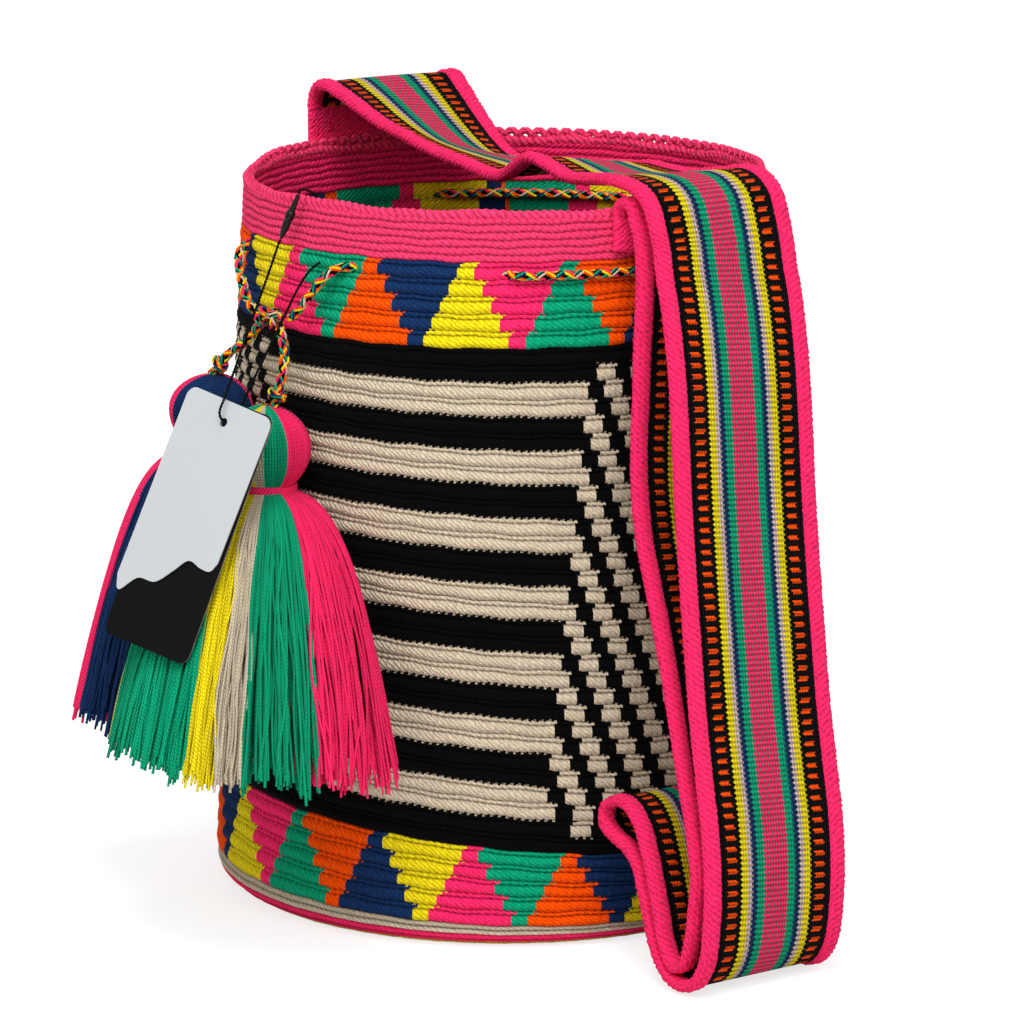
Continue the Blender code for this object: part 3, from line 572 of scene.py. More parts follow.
def makeLace(material):
    radius = wallRadius(bag["height"]) - bag["wall"] / 2
    turns = np.linspace(0, 2 * math.pi, body["rimStitches"] * 4 + 1)
    high = lace["ringHeight"] + lace["wave"] * (np.sin(turns * 9) + 0.6 * np.sin(turns * 23 + 1))
    ring = np.stack([radius * np.sin(turns), -radius * np.cos(turns), high], 1)
    thick = lace["ringRadius"] * (1 + 0.14 * np.sin(turns * body["rimStitches"]))
    parts = [(*tubeMesh(ring, thick, 12, turns * radius), yarn["rimPink"])]
    span = math.radians(lace["to"] - lace["from"])
    share = np.linspace(0, 1, lace["scallops"] * 14 + 1)
    angles = math.radians(lace["from"]) + span * share
    wave = share * lace["scallops"] * math.pi
    fade = np.clip(np.minimum(share, 1 - share) / 0.10, 0.15, 1)
    wobble = 0.0004 * np.sin(angles * 17)
    arch = np.stack([(radius + wobble) * np.sin(angles), -(radius + wobble) * np.cos(angles),
                     lace["ringHeight"] + 0.0008 + lace["peak"] * fade * np.abs(np.sin(wave)) ** 0.6], 1)
    knots = 1 + 0.25 * np.abs(np.sin(wave * 4))
    parts.append((*tubeMesh(arch, lace["archRadius"] * knots, 8, angles * radius), yarn["rimPink"]))
    joinedPiece("rimLace", parts, material, uvScale=(3, 290), slot="body_crochet")


# Strap: the same folded route as the CAD part

strap = {
    "width": 0.076, "band": 0.058, "thick": 0.0024, "edgeThick": 0.0052,
    "sideAtRim": 0.010, "sideAtFloor": -0.020, "tabDrop": 0.022, "leftRise": 0.017, "rightRise": -0.003,
    "stripes": ((0.0, "pink"), (0.214, "green"), (0.352, "navy"), (0.447, "lilac"), (0.526, "yellow"),
                (0.645, "black")),
    "rung": (0.735, 0.905, 0.0047, 0.44), "dots": (0.0033, 0.0017), "weft": 0.0023, "warp": 0.00145,
    "edgeStitch": 0.0027, "twist": 0.00026, "rib": 0.00016, "fuzz": 0.00012, "away": 0.0028,
    "spacing": 0.0012, "bandPoints": 25, "bandOver": 0.0008, "edgeFrom": 0.0006, "edgeWithin": 0.0002,
    "tabThick": 0.0022, "tabRidge": 0.0004, "tabRow": 0.0034, "tabStitch": 0.0033,
}


def strapRadius(height):
    return wallRadius(min(height, bag["height"])) + strap["away"]


def strapSide(height):
    share = min(height / (0.95 * bag["height"]), 1.0)
    return strap["sideAtFloor"] + (strap["sideAtRim"] - strap["sideAtFloor"]) * share


# Rows of (x, height, roll in degrees, bow) along the strap's middle, from the left tab to the right
def strapRoute():
    top, rim, sewn = bag["height"], bag["rimRadius"], strapRadius(bag["height"])
    rows = [(-sewn, top + strap["leftRise"] + 0.0003, 0, -1), (-sewn, top + strap["leftRise"] + 0.0025, 0, -1)]
    over = ((0.0012, 0.0245, 0, -0.9), (-0.0030, 0.0285, 0, -0.8), (-0.0100, 0.0292, 0, -0.7),
            (-0.0175, 0.0262, 2, -0.5), (-0.0275, 0.0215, 5, -0.3), (-0.0425, 0.0140, 9, -0.1),
            (-0.0575, 0.0075, 13, 0), (-0.0695, 0.0040, 15, 0), (-0.0875, 0.0030, 11, 0))
    rows += [(-rim - out, top + rise, roll, bow) for out, rise, roll, bow in over]
    mouth = ((0.0, 0.0025, 6), (0.030, 0.0030, 1), (0.042, 0.0062, 5), (0.052, 0.0095, 8), (0.064, 0.0085, 7),
             (0.080, 0.0068, 4), (0.096, 0.0085, 3))
    rows += [(x, top + rise, roll, 0) for x, rise, roll in mouth]
    right = ((-0.0075, 0.0106, 2), (0.0040, 0.0112, 0), (0.0135, 0.0093, 0), (0.0210, 0.0040, 0),
             (0.0250, -0.0040, 0), (0.0285, -0.0140, 0), (0.0325, -0.0260, 0))
    rows += [(rim + out, top + rise, roll, 0) for out, rise, roll in right]
    falling = ((0.0365, 0.874), (0.0432, 0.794), (0.0479, 0.714), (0.0517, 0.640), (0.0565, 0.560),
               (0.0629, 0.462), (0.0702, 0.357))
    rows += [(wallRadius(share * top) + out, share * top, 0, 0) for out, share in falling]
    foot = ((0.0770, 0.0900), (0.0820, 0.0720), (0.0856, 0.0520), (0.0866, 0.0320), (0.0848, 0.0160),
            (0.0788, 0.0062), (0.0706, 0.0030), (0.0612, 0.0048), (0.0526, 0.0125), (0.0462, 0.0245),
            (0.0408, 0.0365), (0.0353, 0.0470), (0.0276, 0.0530), (0.0192, 0.0555), (0.0119, 0.0595),
            (0.0112, 0.0660), (0.0180, 0.0715), (0.0270, 0.0710), (0.0357, 0.0640), (0.0421, 0.0530),
            (0.0475, 0.0410), (0.0524, 0.0290), (0.0573, 0.0170), (0.0640, 0.0098), (0.0701, 0.0120),
            (0.0741, 0.0220), (0.0758, 0.0360), (0.0761, 0.0520), (0.0714, 0.0700))
    rows += [(wallRadius(height) + out, height, 0, 0) for out, height in foot]
    rising = ((0.0639, 0.277), (0.0569, 0.338), (0.0490, 0.406), (0.0410, 0.468), (0.0338, 0.520),
              (0.0267, 0.572), (0.0216, 0.634), (0.0195, 0.689), (0.0190, 0.751), (0.0190, 0.812),
              (0.0195, 0.874))
    rows += [(wallRadius(share * top) + out, share * top, 0, 0.6 * max(0, share - 0.75) / 0.125)
             for out, share in rising]
    fold = ((0.0170, -0.0230, 0.8), (0.0145, -0.0110, 0.95), (0.0116, -0.0035, 1), (0.0097, 0.0012, 1),
            (0.0058, 0.0034, 1), (0.0016, 0.0020, 1), (0.0, strap["rightRise"] + 0.0025, 1),
            (0.0, strap["rightRise"] + 0.0003, 1))
    rows += [(sewn + out, top + rise, 0, bow) for out, rise, bow in fold]
    return [(x, strapSide(z), z, roll, bow) for x, z, roll, bow in rows]


# The outline's (across, through) points at each row of the strap, as rows of points
def strapSections(rows, outline):
    tangents = np.gradient(rows[:, :3], axis=0)
    tangents /= np.linalg.norm(tangents, axis=1)[:, None]
    across = np.array([0.0, 1.0, 0.0]) - tangents * tangents[:, 1:2]
    across /= np.linalg.norm(across, axis=1)[:, None]
    out = np.cross(tangents, across)
    turn = np.radians(rows[:, 3])[:, None]
    tilted = across * np.cos(turn) - out * np.sin(turn)
    normals = np.cross(tangents, tilted)
    radius = np.array([strapRadius(z) for z in rows[:, 2]])
    side, through = outline[..., 0], outline[..., 1]
    points = (rows[:, None, :3] + tilted[:, None, :] * side[..., None] + normals[:, None, :] * through[..., None])
    y = rows[:, 1][:, None]
    sag = np.sqrt(radius[:, None] ** 2 - y ** 2) - np.sqrt(radius[:, None] ** 2 - (y + side) ** 2)
    points[..., 0] -= rows[:, 4][:, None] * sag
    return points


# Lengthwise stripes of warp with rungs and dots, drawn from the band's own uv in metres
def bandMaterial():
    made, tree, shader = nodeTree("strapWeave")
    soften(shader)
    u, v = uvParts(tree)
    ribs = maths(tree, "SINE", maths(tree, "MULTIPLY", v, 2 * math.pi / strap["weft"]))
    side = maths(tree, "SIGN", u)
    wave = maths(tree, "MULTIPLY", maths(tree, "MULTIPLY", ribs, side), 0.00055)
    place = maths(tree, "ADD", maths(tree, "ABSOLUTE", u), wave)
    share = maths(tree, "DIVIDE", place, strap["band"] / 2)
    ramp = tree.nodes.new("ShaderNodeValToRGB")
    ramp.color_ramp.interpolation = "CONSTANT"
    elements = ramp.color_ramp.elements
    while len(elements) < len(strap["stripes"]):
        elements.new(0.99)
    for element, (position, name) in zip(elements, strap["stripes"]):
        element.position = position
        element.color = (*yarn[name], 1.0)
    tree.links.new(share, ramp.inputs[0])
    colour = ramp.outputs[0]
    low, high, pitch, duty = strap["rung"]
    rung = maths(tree, "MULTIPLY", maths(tree, "GREATER_THAN", share, low), maths(tree, "LESS_THAN", share, high))
    beat = maths(tree, "LESS_THAN", maths(tree, "FRACT", maths(tree, "DIVIDE", v, pitch)), duty)
    colour = blendColour(tree, maths(tree, "MULTIPLY", rung, beat), colour, yarn["orange"])
    dotWide, dotHigh = strap["dots"]
    row = maths(tree, "DIVIDE", v, dotHigh)
    column = maths(tree, "ADD", maths(tree, "DIVIDE", u, dotWide),
                   maths(tree, "MULTIPLY_ADD", maths(tree, "FLOOR", row), 0.5, 0.25))
    across = maths(tree, "ABSOLUTE", maths(tree, "SUBTRACT", maths(tree, "FRACT", column), 0.5))
    down = maths(tree, "ABSOLUTE", maths(tree, "SUBTRACT", maths(tree, "FRACT", row), 0.5))
    dot = maths(tree, "MULTIPLY", maths(tree, "LESS_THAN", across, 0.15), maths(tree, "LESS_THAN", down, 0.36))
    dot = maths(tree, "MULTIPLY", dot, maths(tree, "LESS_THAN", share, 0.205))
    colour = blendColour(tree, dot, colour, linear(60, 120, 95))
    warp = maths(tree, "SINE", maths(tree, "MULTIPLY", u, 2 * math.pi / strap["warp"]))
    fibre = noiseAt(tree, 2400.0, 3.0)
    height = maths(tree, "ADD", maths(tree, "MULTIPLY", warp, 0.5), maths(tree, "MULTIPLY", ribs, 0.6))
    height = maths(tree, "ADD", height, maths(tree, "MULTIPLY", fibre, 0.8))
    bumpFrom(tree, shader, height, 0.00045)
    # Painted shade: dark lines in the gaps between weft rows and between warp threads; the noises add random tone
    shade = maths(tree, "MULTIPLY_ADD", ribs, 0.25, 0.73)
    shade = maths(tree, "ADD", shade, maths(tree, "MULTIPLY", warp, 0.13))
    shade = maths(tree, "MULTIPLY", shade, maths(tree, "MULTIPLY_ADD", fibre, 0.7, 0.68))
    shade = maths(tree, "MULTIPLY", shade, maths(tree, "MULTIPLY_ADD", noiseAt(tree, 90.0), 0.3, 0.86))
    tintBase(tree, shader, colour, shade)
    return made


def makeStrap():
    rows, places = evenly(smoothPath(strapRoute()), strap["spacing"])
    half, each = strap["band"] / 2 + strap["bandOver"], strap["bandPoints"]
    acrossAt = np.linspace(-half, half, each)
    around = np.concatenate([acrossAt, acrossAt[::-1]])
    through = np.repeat([-strap["thick"] / 2, strap["thick"] / 2], each)
    outline = np.broadcast_to(np.stack([around, through], -1), (len(rows), 2 * each, 2))
    points = strapSections(rows, outline).reshape(-1, 3)
    faces = gridFaces(len(rows), 2 * each, closed=True)
    uv = gridUv(np.concatenate([around, around[:1]]), places)
    data = meshData("strapBand", points, faces, uv)
    band = linkObject("strapBand", data, bandMaterial(), nodes=["strap_band"], slot="strap_weave")
    edges = []
    material = crochetMaterial("strapEdge", along=1.0, down=1.0, distance=0.0004, dark=0.78)
    for name, sign, node in (("strapEdgeFront", -1, "strap_edge_front"), ("strapEdgeRear", 1, "strap_edge_rear")):
        edges.append(strapEdge(name, sign, node, rows, places, material))
    makeTabs()
    length = float(places[-1])
    print("strap length", round(length, 3))
    return band, edges, length


# A plump crocheted edge with a bump for every stitch
def strapEdge(name, sign, node, rows, places, material):
    sides = 24
    turns = np.linspace(0, 2 * math.pi, sides, endpoint=False)
    inner, outer = strap["band"] / 2 + strap["edgeFrom"], strap["width"] / 2 - strap["edgeWithin"]
    middle, wide, deep = (inner + outer) / 2, (outer - inner) / 2, strap["edgeThick"] / 2
    stitch = 2 * math.pi * places[:, None] / strap["edgeStitch"]
    brick = np.floor(turns / (2 * math.pi) * 9 + 0.5)[None, :]
    twist = np.cos(stitch + math.pi * (brick % 2) + 0.9 * np.sin(brick * 2.1))
    rib = np.cos(9 * turns)[None, :]
    bump = strap["twist"] * twist + strap["rib"] * rib + random.normal(0, strap["fuzz"], twist.shape)
    side = sign * (middle + (wide + bump) * np.sign(np.cos(turns)) * np.abs(np.cos(turns)) ** 0.8)
    through = (deep + bump) * np.sign(np.sin(turns)) * np.abs(np.sin(turns)) ** 0.8
    points = strapSections(rows, np.stack([side, through], -1)).reshape(-1, 3)
    faces = gridFaces(len(rows), sides, closed=True, flip=sign < 0)
    uv = gridUv(np.arange(sides + 1) / sides * 7, places / strap["edgeStitch"], flip=sign < 0)
    # Painted shade that follows the stitch bumps and ribs
    shade = 0.92 + 0.08 * twist + 0.07 * rib
    colours = np.broadcast_to(np.array(yarn["pink"]), (len(faces), 3))
    data = meshData(name, points, faces, uv, colours, shade)
    return linkObject(name, data, material, nodes=[node], slot="pink_yarn")


# The crocheted tabs that join the strap to the rim
def makeTabs():
    material = crochetMaterial("tabCrochet", along=1.2, down=1.6, distance=0.0004)
    for name, rise, sign, node in (("strapTabLeft", strap["leftRise"], -1, "strap_tab_left"),
                                   ("strapTabRight", strap["rightRise"], 1, "strap_tab_right")):
        low, high = bag["height"] - strap["tabDrop"], bag["height"] + rise + 0.0004
        heights = np.linspace(low, high, max(10, int((high - low) / 0.0009)))
        rows = np.array([(sign * strapRadius(z), strapSide(z), z, 0, sign) for z in heights])
        turns = np.linspace(0, 2 * math.pi, 72, endpoint=False)
        across = np.sign(np.cos(turns)) * np.abs(np.cos(turns)) ** 0.45 * strap["width"] / 2 * 0.995
        ridge = strap["tabThick"] + strap["tabRidge"] * np.abs(np.sin(math.pi * (heights - low) / strap["tabRow"]))
        pinch = np.ones(len(heights))
        pinch[0], pinch[-1] = 0.3, 0.6
        through = (ridge * pinch)[:, None] * (np.sign(np.sin(turns)) * np.abs(np.sin(turns)) ** 0.4)[None, :]
        outline = np.stack([np.broadcast_to(across, through.shape), through], -1)
        points = strapSections(rows, outline).reshape(-1, 3)
        faces = gridFaces(len(rows), 72, closed=True)
        uv = gridUv(np.concatenate([across, across[:1]]) / strap["tabStitch"], (heights - low) / strap["tabRow"])
        colours = np.broadcast_to(np.array(yarn["pink"]), (len(faces), 3))
        data = meshData(name, points, faces, uv, colours)
        linkObject(name, data, material, nodes=[node], slot="pink_yarn")


# Braided cord: strands that wind both ways and pass over and under each other

braid = {
    "lay": 0.0165, "thread": 0.27, "spacing": 0.0007, "fineSpacing": 0.0005, "spread": 0.44,
    "colours": (("orange", "yellow", "orange"), ("black", "green", "navy"), ("pink", "orange", "yellow"),
                ("green", "black", "beige")),
}


def braidParts(path, radius, spacing):
    rows, places = evenly(path, spacing)
    first, second = framesAlong(rows)
    thread = radius * braid["thread"]
    # A black core under the strands: painted shade that shows in the gaps between them
    parts = [(*tubeMesh(rows, radius * 0.6, 6, places), np.array(yarn["black"]))]
    for k, names in enumerate(braid["colours"]):
        sign = 1 if k % 2 == 0 else -1
        start = k // 2 * math.pi + (math.pi / 2 if sign < 0 else 0)
        turn = start + sign * 2 * math.pi * places / braid["lay"]
        weave = np.cos(2 * 2 * math.pi * places / braid["lay"] + (0 if sign > 0 else math.pi))
        away = radius - thread + radius * 0.10 * (weave - 1)
        for j, name in enumerate(names):
            at = turn + (j - 1) * braid["spread"]
            ring = first * np.cos(at)[:, None] + second * np.sin(at)[:, None]
            points, faces, uv = tubeMesh(rows[:, :3] + ring * away[:, None], thread, 5, places)
            parts.append((points, faces, uv, np.array(yarn[name])))
    return parts


# Twisted yarn: uv holds the share round the thread and the metres along it
def threadMaterial(name, colour=None, ply=0.0017, distance=0.0002, toned=False):
    made, tree, shader = nodeTree(name)
    soften(shader, 0.8)
    u, v = uvParts(tree)
    phase = maths(tree, "ADD", maths(tree, "DIVIDE", v, ply), maths(tree, "MULTIPLY", u, 2.0))
    wave = maths(tree, "MULTIPLY_ADD", maths(tree, "SINE", maths(tree, "MULTIPLY", phase, 2 * math.pi)), 0.5, 0.5)
    fibre = noiseAt(tree, 2800.0, 2.0)
    bumpFrom(tree, shader, maths(tree, "MULTIPLY_ADD", fibre, 0.5, wave), distance)
    # Painted shade: darker in the grooves of the ply's twist; the fibre noise and thread tone vary at random
    shade = maths(tree, "MULTIPLY_ADD", wave, 0.54, 0.64)
    shade = maths(tree, "MULTIPLY", shade, maths(tree, "MULTIPLY_ADD", fibre, 0.4, 0.82))
    if toned:
        tone = tree.nodes.new("ShaderNodeAttribute")
        tone.attribute_name = "threadTone"
        shade = maths(tree, "MULTIPLY", shade, tone.outputs["Fac"])
    tintBase(tree, shader, colour or faceColour(tree), shade)
    return made


def drawstringRoute():
    line, cross = drawstring["line"], drawstring["cross"]
    rows = [(7.9, 0.0106, line - 0.0243), (10.6, 0.0102, line - 0.0185), (13.6, 0.0088, line - 0.0100),
            (16.0, 0.0066, line - 0.0030)]
    outNow = True
    places = drawstring["eyelets"]
    for k, angle in enumerate(places):
        ends = (drawstring["outside"], drawstring["inside"])
        start, end = ends if outNow else ends[::-1]
        for share in (-1.0, -0.6, -0.3, 0.0, 0.3, 0.6, 1.0):
            if (k == 0 and share == -1.0) or (k == len(places) - 1 and share == 1.0):
                continue
            ease = 0.5 + 0.5 * math.sin(share * math.pi / 2)
            rows.append((angle + share * cross, start + (end - start) * ease, line))
        outNow = not outNow
        if k + 1 < len(places):
            first, last = angle + cross, places[k + 1] - cross
            count = max(2, round((last - first) / 5.6))
            rows += [(first + (last - first) * i / count, end, line) for i in range(1, count)]
    rows += [(344.0, 0.0066, line - 0.0030), (347.5, 0.0088, line - 0.0100), (352.0, 0.0102, line - 0.0180),
             (356.1, 0.0106, line - 0.0243)]
    return [atWall(*row) for row in rows]


def makeDrawstring(material):
    parts = braidParts(smoothPath(drawstringRoute()), drawstring["radius"], braid["spacing"])
    joinedPiece("drawstringBraid", parts, material, nodes=["drawstring"], slot="braid")
    makeKnot(material)


# The two ends pass round each other in an overhand tie
def makeKnot(material):
    centre = atWall(*drawstring["knot"])
    turn = math.radians(drawstring["knot"][0])
    right = Vector((math.cos(turn), math.sin(turn), 0))
    outward = Vector((math.sin(turn), -math.cos(turn), 0))
    up = Vector((0, 0, 1))

    def place(across, out, high):
        return centre + (right * across + outward * out + up * high) * 0.001

    loops = (((8.5, 0.5, 1.5), (3.5, 3.2, 2.6), (-2.0, 3.4, 1.2), (-4.6, 0.6, -2.4), (-2.5, -3.0, -2.2),
              (0.5, -2.0, 2.2), (3.0, 1.6, 3.4), (4.6, 3.4, -0.4), (3.0, 1.8, -3.6)),
             ((-8.8, 0.5, 1.5), (-5.0, 2.2, 3.2), (-0.5, 3.6, 3.6), (3.6, 2.6, 1.0), (3.2, -1.8, -2.0),
              (-0.8, -2.4, 0.2), (-4.0, 1.4, 2.0), (-6.6, 3.2, -0.4), (-5.2, 1.6, -3.4)))
    parts = []
    for loop in loops:
        path = smoothPath([place(*p) for p in loop], 0.0004)
        parts += braidParts(path, drawstring["knotRadius"], braid["fineSpacing"])
    joinedPiece("drawstringTie", parts, material, nodes=["drawstring_knot"], slot="braid")


# Tassels: hundreds of threads folded over the cord's end, bound at the neck and fanned out below

tassels = {
    "left": {
        "pivot": (-2.5, 0.0112, 0.2657), "route": ((-5.0, 0.0120, 0.2600), (-8.6, 0.0160, 0.2535)),
        "stop": (-9.8, 0.0197, 0.2480), "head": (-10.9, 0.0205, 0.2279), "neck": 0.2095,
        "facing": -26.0, "foot": (-26.0, 0.0370, 0.0830), "footSize": (0.043, 0.033),
        "early": 0.75, "swell": (0.36, 0.28),
        "hanks": (("pink", 76, 118), ("yellow", 118, 180), ("green", 180, 245), ("pink", 245, 300),
                  ("navy", 300, 436)),
        "threads": 1000,
    },
    "right": {
        "pivot": (6.2, 0.0117, 0.2653), "route": ((8.4, 0.0140, 0.2590), (9.2, 0.0170, 0.2500)),
        "stop": (8.9, 0.0190, 0.2414), "head": (7.4, 0.0208, 0.2185), "neck": 0.2003,
        "facing": 15.4, "foot": (15.4, 0.0482, 0.0890), "footSize": (0.077, 0.044),
        "early": 0.45, "swell": (0.41, 0.50),
        "hanks": (("pink", -30, 22), ("green", 22, 54), ("beige", 54, 73), ("yellow", 73, 94), ("green", 94, 165),
                  ("yellow", 165, 240), ("pink", 240, 318), ("navy", 318, 330)),
        "threads": 1500,
    },
}
tasselShape = {
    "head": 0.020, "neckRadius": 0.0115, "stop": 0.0045, "neckHalf": 0.002,
    "thread": 0.00064, "sides": 4, "skinEvery": 16, "tones": (0.80, 1.18), "wave": 0.0018, "clump": 0.0085,
    "bindingHigh": 0.0030, "bindingOut": 0.0011, "bindingThread": 0.0008,
}


# Rows of (x, y, z, half width, half depth) from the top of the head to the foot of the skirt
def tasselSections(tassel):
    head, stop, foot = (np.array(atWall(*tassel[k])) for k in ("head", "stop", "foot"))
    rise = stop[2] - tasselShape["stop"] - 0.0006 - head[2]
    neckTop = tassel["neck"] + tasselShape["neckHalf"]
    neck = tasselShape["neckRadius"]
    lowest = math.cos(math.asin(neck / tasselShape["head"]))
    rows = []
    for turn in (6, 20, 36, 54, 72, 90, 106, 122, 138):
        across = tasselShape["head"] * math.sin(math.radians(turn))
        up = math.cos(math.radians(turn))
        high = head[2] + (up * rise if up > 0 else up * (head[2] - neckTop) / lowest)
        rows.append((head[0], head[1], high, across, across))
    skirtTop = neckTop - 2 * tasselShape["neckHalf"]
    rows.append((head[0], head[1], tassel["neck"] + 0.001, neck, neck))
    rows.append((head[0], head[1], tassel["neck"] - 0.001, neck, neck))
    for share in (0.012, 0.04, 0.09, 0.16, 0.25, 0.36, 0.48, 0.61, 0.74, 0.87, 1.0):
        lean = tassel["early"] * math.sqrt(share) + (1 - tassel["early"]) * share
        centre = head + (foot - head) * lean
        sizes = zip(tassel["footSize"], tassel["swell"])
        width, depth = (neck + (full - neck) * share ** power for full, power in sizes)
        rows.append((centre[0], centre[1], skirtTop + (foot[2] - skirtTop) * share, width, depth))
    return np.array(rows)


# Each thread's points: outer ones lie side by side on the skin, others fill the inside. Towards the
# foot the threads wave and lean together in clumps
def threadLines(tassel, start, end, count, seed):
    pick = np.random.default_rng(seed)
    sections = tasselSections(tassel)
    facing = math.radians(tassel["facing"])
    along = np.array([math.cos(facing), math.sin(facing), 0])
    outward = np.array([math.sin(facing), -math.cos(facing), 0])
    lines = []
    rank = (np.arange(count) + pick.uniform(-0.3, 0.3, count)) / count
    footRadius = (tassel["footSize"][0] + tassel["footSize"][1]) / 2
    clumpTurn = tasselShape["clump"] / footRadius
    clumpCut = pick.normal(0, 0.045, 400)
    clumpShift = pick.uniform(-0.3, 0.3, 400)
    for k in range(count):
        onTop = k % 2 == 0
        layer = (0.985, 0.80, 0.94, 0.62)[k % 4] + pick.uniform(-0.03, 0.015)
        share = rank[k] if onTop else (rank[k] * 7.0) % 1.0
        turn = math.radians(start + (end - start) * share)
        clump = math.floor(turn / clumpTurn)
        lean = ((clump + 0.5 + clumpShift[clump]) * clumpTurn - turn) * pick.uniform(0.25, 0.85)
        cut = float(np.clip(clumpCut[clump] + pick.normal(-0.02, 0.05), -0.3, 0.13))
        phase, beats, size = pick.uniform(0, 6.28), pick.uniform(1.2, 2.6), pick.normal(0, tasselShape["wave"])
        points = []
        for i, (x, y, z, width, depth) in enumerate(sections):
            late = max(0.0, (i - 10) / (len(sections) - 11))
            wave = size / footRadius * math.sin(phase + beats * 2 * math.pi * late) * min(1.0, 2.5 * late)
            angle = turn + lean * late ** 2 + wave
            onSkin = 0.985 if k % tasselShape["skinEvery"] == 0 else 0.935
            spread = onSkin if i < 9 else layer - 0.02 * (1 + math.sin(3.1 * k + 7 * late)) * late
            deep = depth * (1 - (0.14 if i < 10 else 0.2 * late) * max(0.0, -math.sin(angle)))
            radius = width * deep / math.hypot(deep * math.cos(angle), width * math.sin(angle))
            point = np.array([x, y, z]) + (along * math.cos(angle) + outward * math.sin(angle)) * radius * spread
            if i == len(sections) - 1:
                point = point + (point - points[-1]) * cut * 3
            points.append(point)
        lines.append(np.array(points))
    return lines


# Sweeps a round profile along every thread and keeps the share round and metres along as uv
def threadTree():
    tree = bpy.data.node_groups.new("threadSweep", "GeometryNodeTree")
    face = tree.interface
    face.new_socket("Geometry", in_out="INPUT", socket_type="NodeSocketGeometry")
    radiusIn = face.new_socket("Thread radius", in_out="INPUT", socket_type="NodeSocketFloat")
    sidesIn = face.new_socket("Sides", in_out="INPUT", socket_type="NodeSocketInt")
    materialIn = face.new_socket("Material", in_out="INPUT", socket_type="NodeSocketMaterial")
    face.new_socket("Geometry", in_out="OUTPUT", socket_type="NodeSocketGeometry")
    nodes, links = tree.nodes, tree.links

    def add(kind, values=(), **settings):
        node = nodes.new(kind)
        for key, value in settings.items():
            setattr(node, key, value)
        for key, value in values:
            if isinstance(value, bpy.types.NodeSocket):
                links.new(value, node.inputs[key])
            else:
                node.inputs[key].default_value = value
        return node

    # Stores a value under a name on the points, corners or curves
    def keep(geometry, label, value, domain, kind="FLOAT"):
        values = (("Geometry", geometry), ("Name", label), ("Value", value))
        return add("GeometryNodeStoreNamedAttribute", data_type=kind, domain=domain, values=values).outputs["Geometry"]

    start = add("NodeGroupInput").outputs
    lowTone, highTone = tasselShape["tones"]
    tone = add("FunctionNodeRandomValue", data_type="FLOAT", values=((2, lowTone), (3, highTone), ("Seed", 5)))
    curve = keep(start[0], "threadTone", tone.outputs[1], "CURVE")
    curve = keep(curve, "metresAlong", add("GeometryNodeSplineParameter").outputs["Length"], "POINT")
    circle = add("GeometryNodeCurvePrimitiveCircle",
                 (("Resolution", start["Sides"]), ("Radius", start["Thread radius"]))).outputs["Curve"]
    profile = keep(circle, "shareRound", add("GeometryNodeSplineParameter").outputs["Factor"], "POINT")
    sweep = add("GeometryNodeCurveToMesh", (("Curve", curve), ("Profile Curve", profile), ("Fill Caps", True)))
    around, along = (add("GeometryNodeInputNamedAttribute", (("Name", label),)).outputs["Attribute"]
                     for label in ("shareRound", "metresAlong"))
    pair = add("ShaderNodeCombineXYZ", (("X", around), ("Y", along))).outputs[0]
    made = keep(sweep.outputs["Mesh"], "stitchUv", pair, "CORNER", "FLOAT2")
    made = add("GeometryNodeSetShadeSmooth", (("Geometry", made),)).outputs["Geometry"]
    made = add("GeometryNodeRealizeInstances", (("Geometry", made),)).outputs["Geometry"]
    made = add("GeometryNodeSetMaterial", (("Geometry", made), ("Material", start["Material"]))).outputs["Geometry"]
    links.new(made, add("NodeGroupOutput").inputs[0])
    return tree, (radiusIn.identifier, sidesIn.identifier, materialIn.identifier)


# Threads as one mesh, made by the node tree from a curve of many splines
def sweepThreads(name, lines, material, tree, keys, widths):
    curve = bpy.data.curves.new(name + "Lines", "CURVE")
    curve.dimensions = "3D"
    for line in lines:
        spline = curve.splines.new("POLY")
        spline.points.add(len(line) - 1)
        flat = np.ones((len(line), 4), np.float32)
        flat[:, :3] = line
        spline.points.foreach_set("co", flat.ravel())
        spline.points.foreach_set("radius", np.asarray(widths, np.float32))
    source = bpy.data.objects.new(name + "Lines", curve)
    bpy.context.scene.collection.objects.link(source)
    modifier = source.modifiers.new("Threads", "NODES")
    modifier.node_group = tree
    for key, value in zip(keys, (tasselShape["thread"], tasselShape["sides"], material)):
        modifier[key] = value
    source.data.materials.append(material)
    bpy.context.view_layer.update()
    graph = bpy.context.evaluated_depsgraph_get()
    data = bpy.data.meshes.new_from_object(source.evaluated_get(graph), depsgraph=graph)
    data.name = name
    source.modifiers.remove(modifier)
    bpy.data.objects.remove(source)
    if not data.materials:
        data.materials.append(material)
    return data


def makeTassel(side, tassel, tree, keys, braidYarn):
    bodyName = "tassel_" + side
    sections = tasselSections(tassel)
    widths = np.interp(np.arange(len(sections)), (0, 4, 8, 9, 10, 11, 13, 16, 20),
                       (0.35, 1, 0.8, 0.62, 0.62, 0.65, 0.8, 1.0, 1.0))
    for k, (colour, start, end) in enumerate(tassel["hanks"]):
        share = (end - start) / 360
        count = max(24, int(tassel["threads"] * share))
        lines = [smoothLine(line) for line in threadLines(tassel, start, end, count, 40 + 10 * k + len(side))]
        fine = np.interp(np.linspace(0, 1, len(lines[0])), np.linspace(0, 1, len(widths)), widths)
        material = threadMaterial(side + colour.capitalize() + "Thread" + str(k), yarn[colour], toned=True)
        data = sweepThreads(f"{side}Hank{k + 1}", lines, material, tree, keys, fine)
        node = f"tassel_{side}_{colour}_hank_{k + 1}"
        linkObject(data.name, data, None, body=bodyName, nodes=[node], slot=colour + "_yarn")
    makeBinding(side, tassel, bodyName)
    makeCordEnd(side, tassel, bodyName, braidYarn)


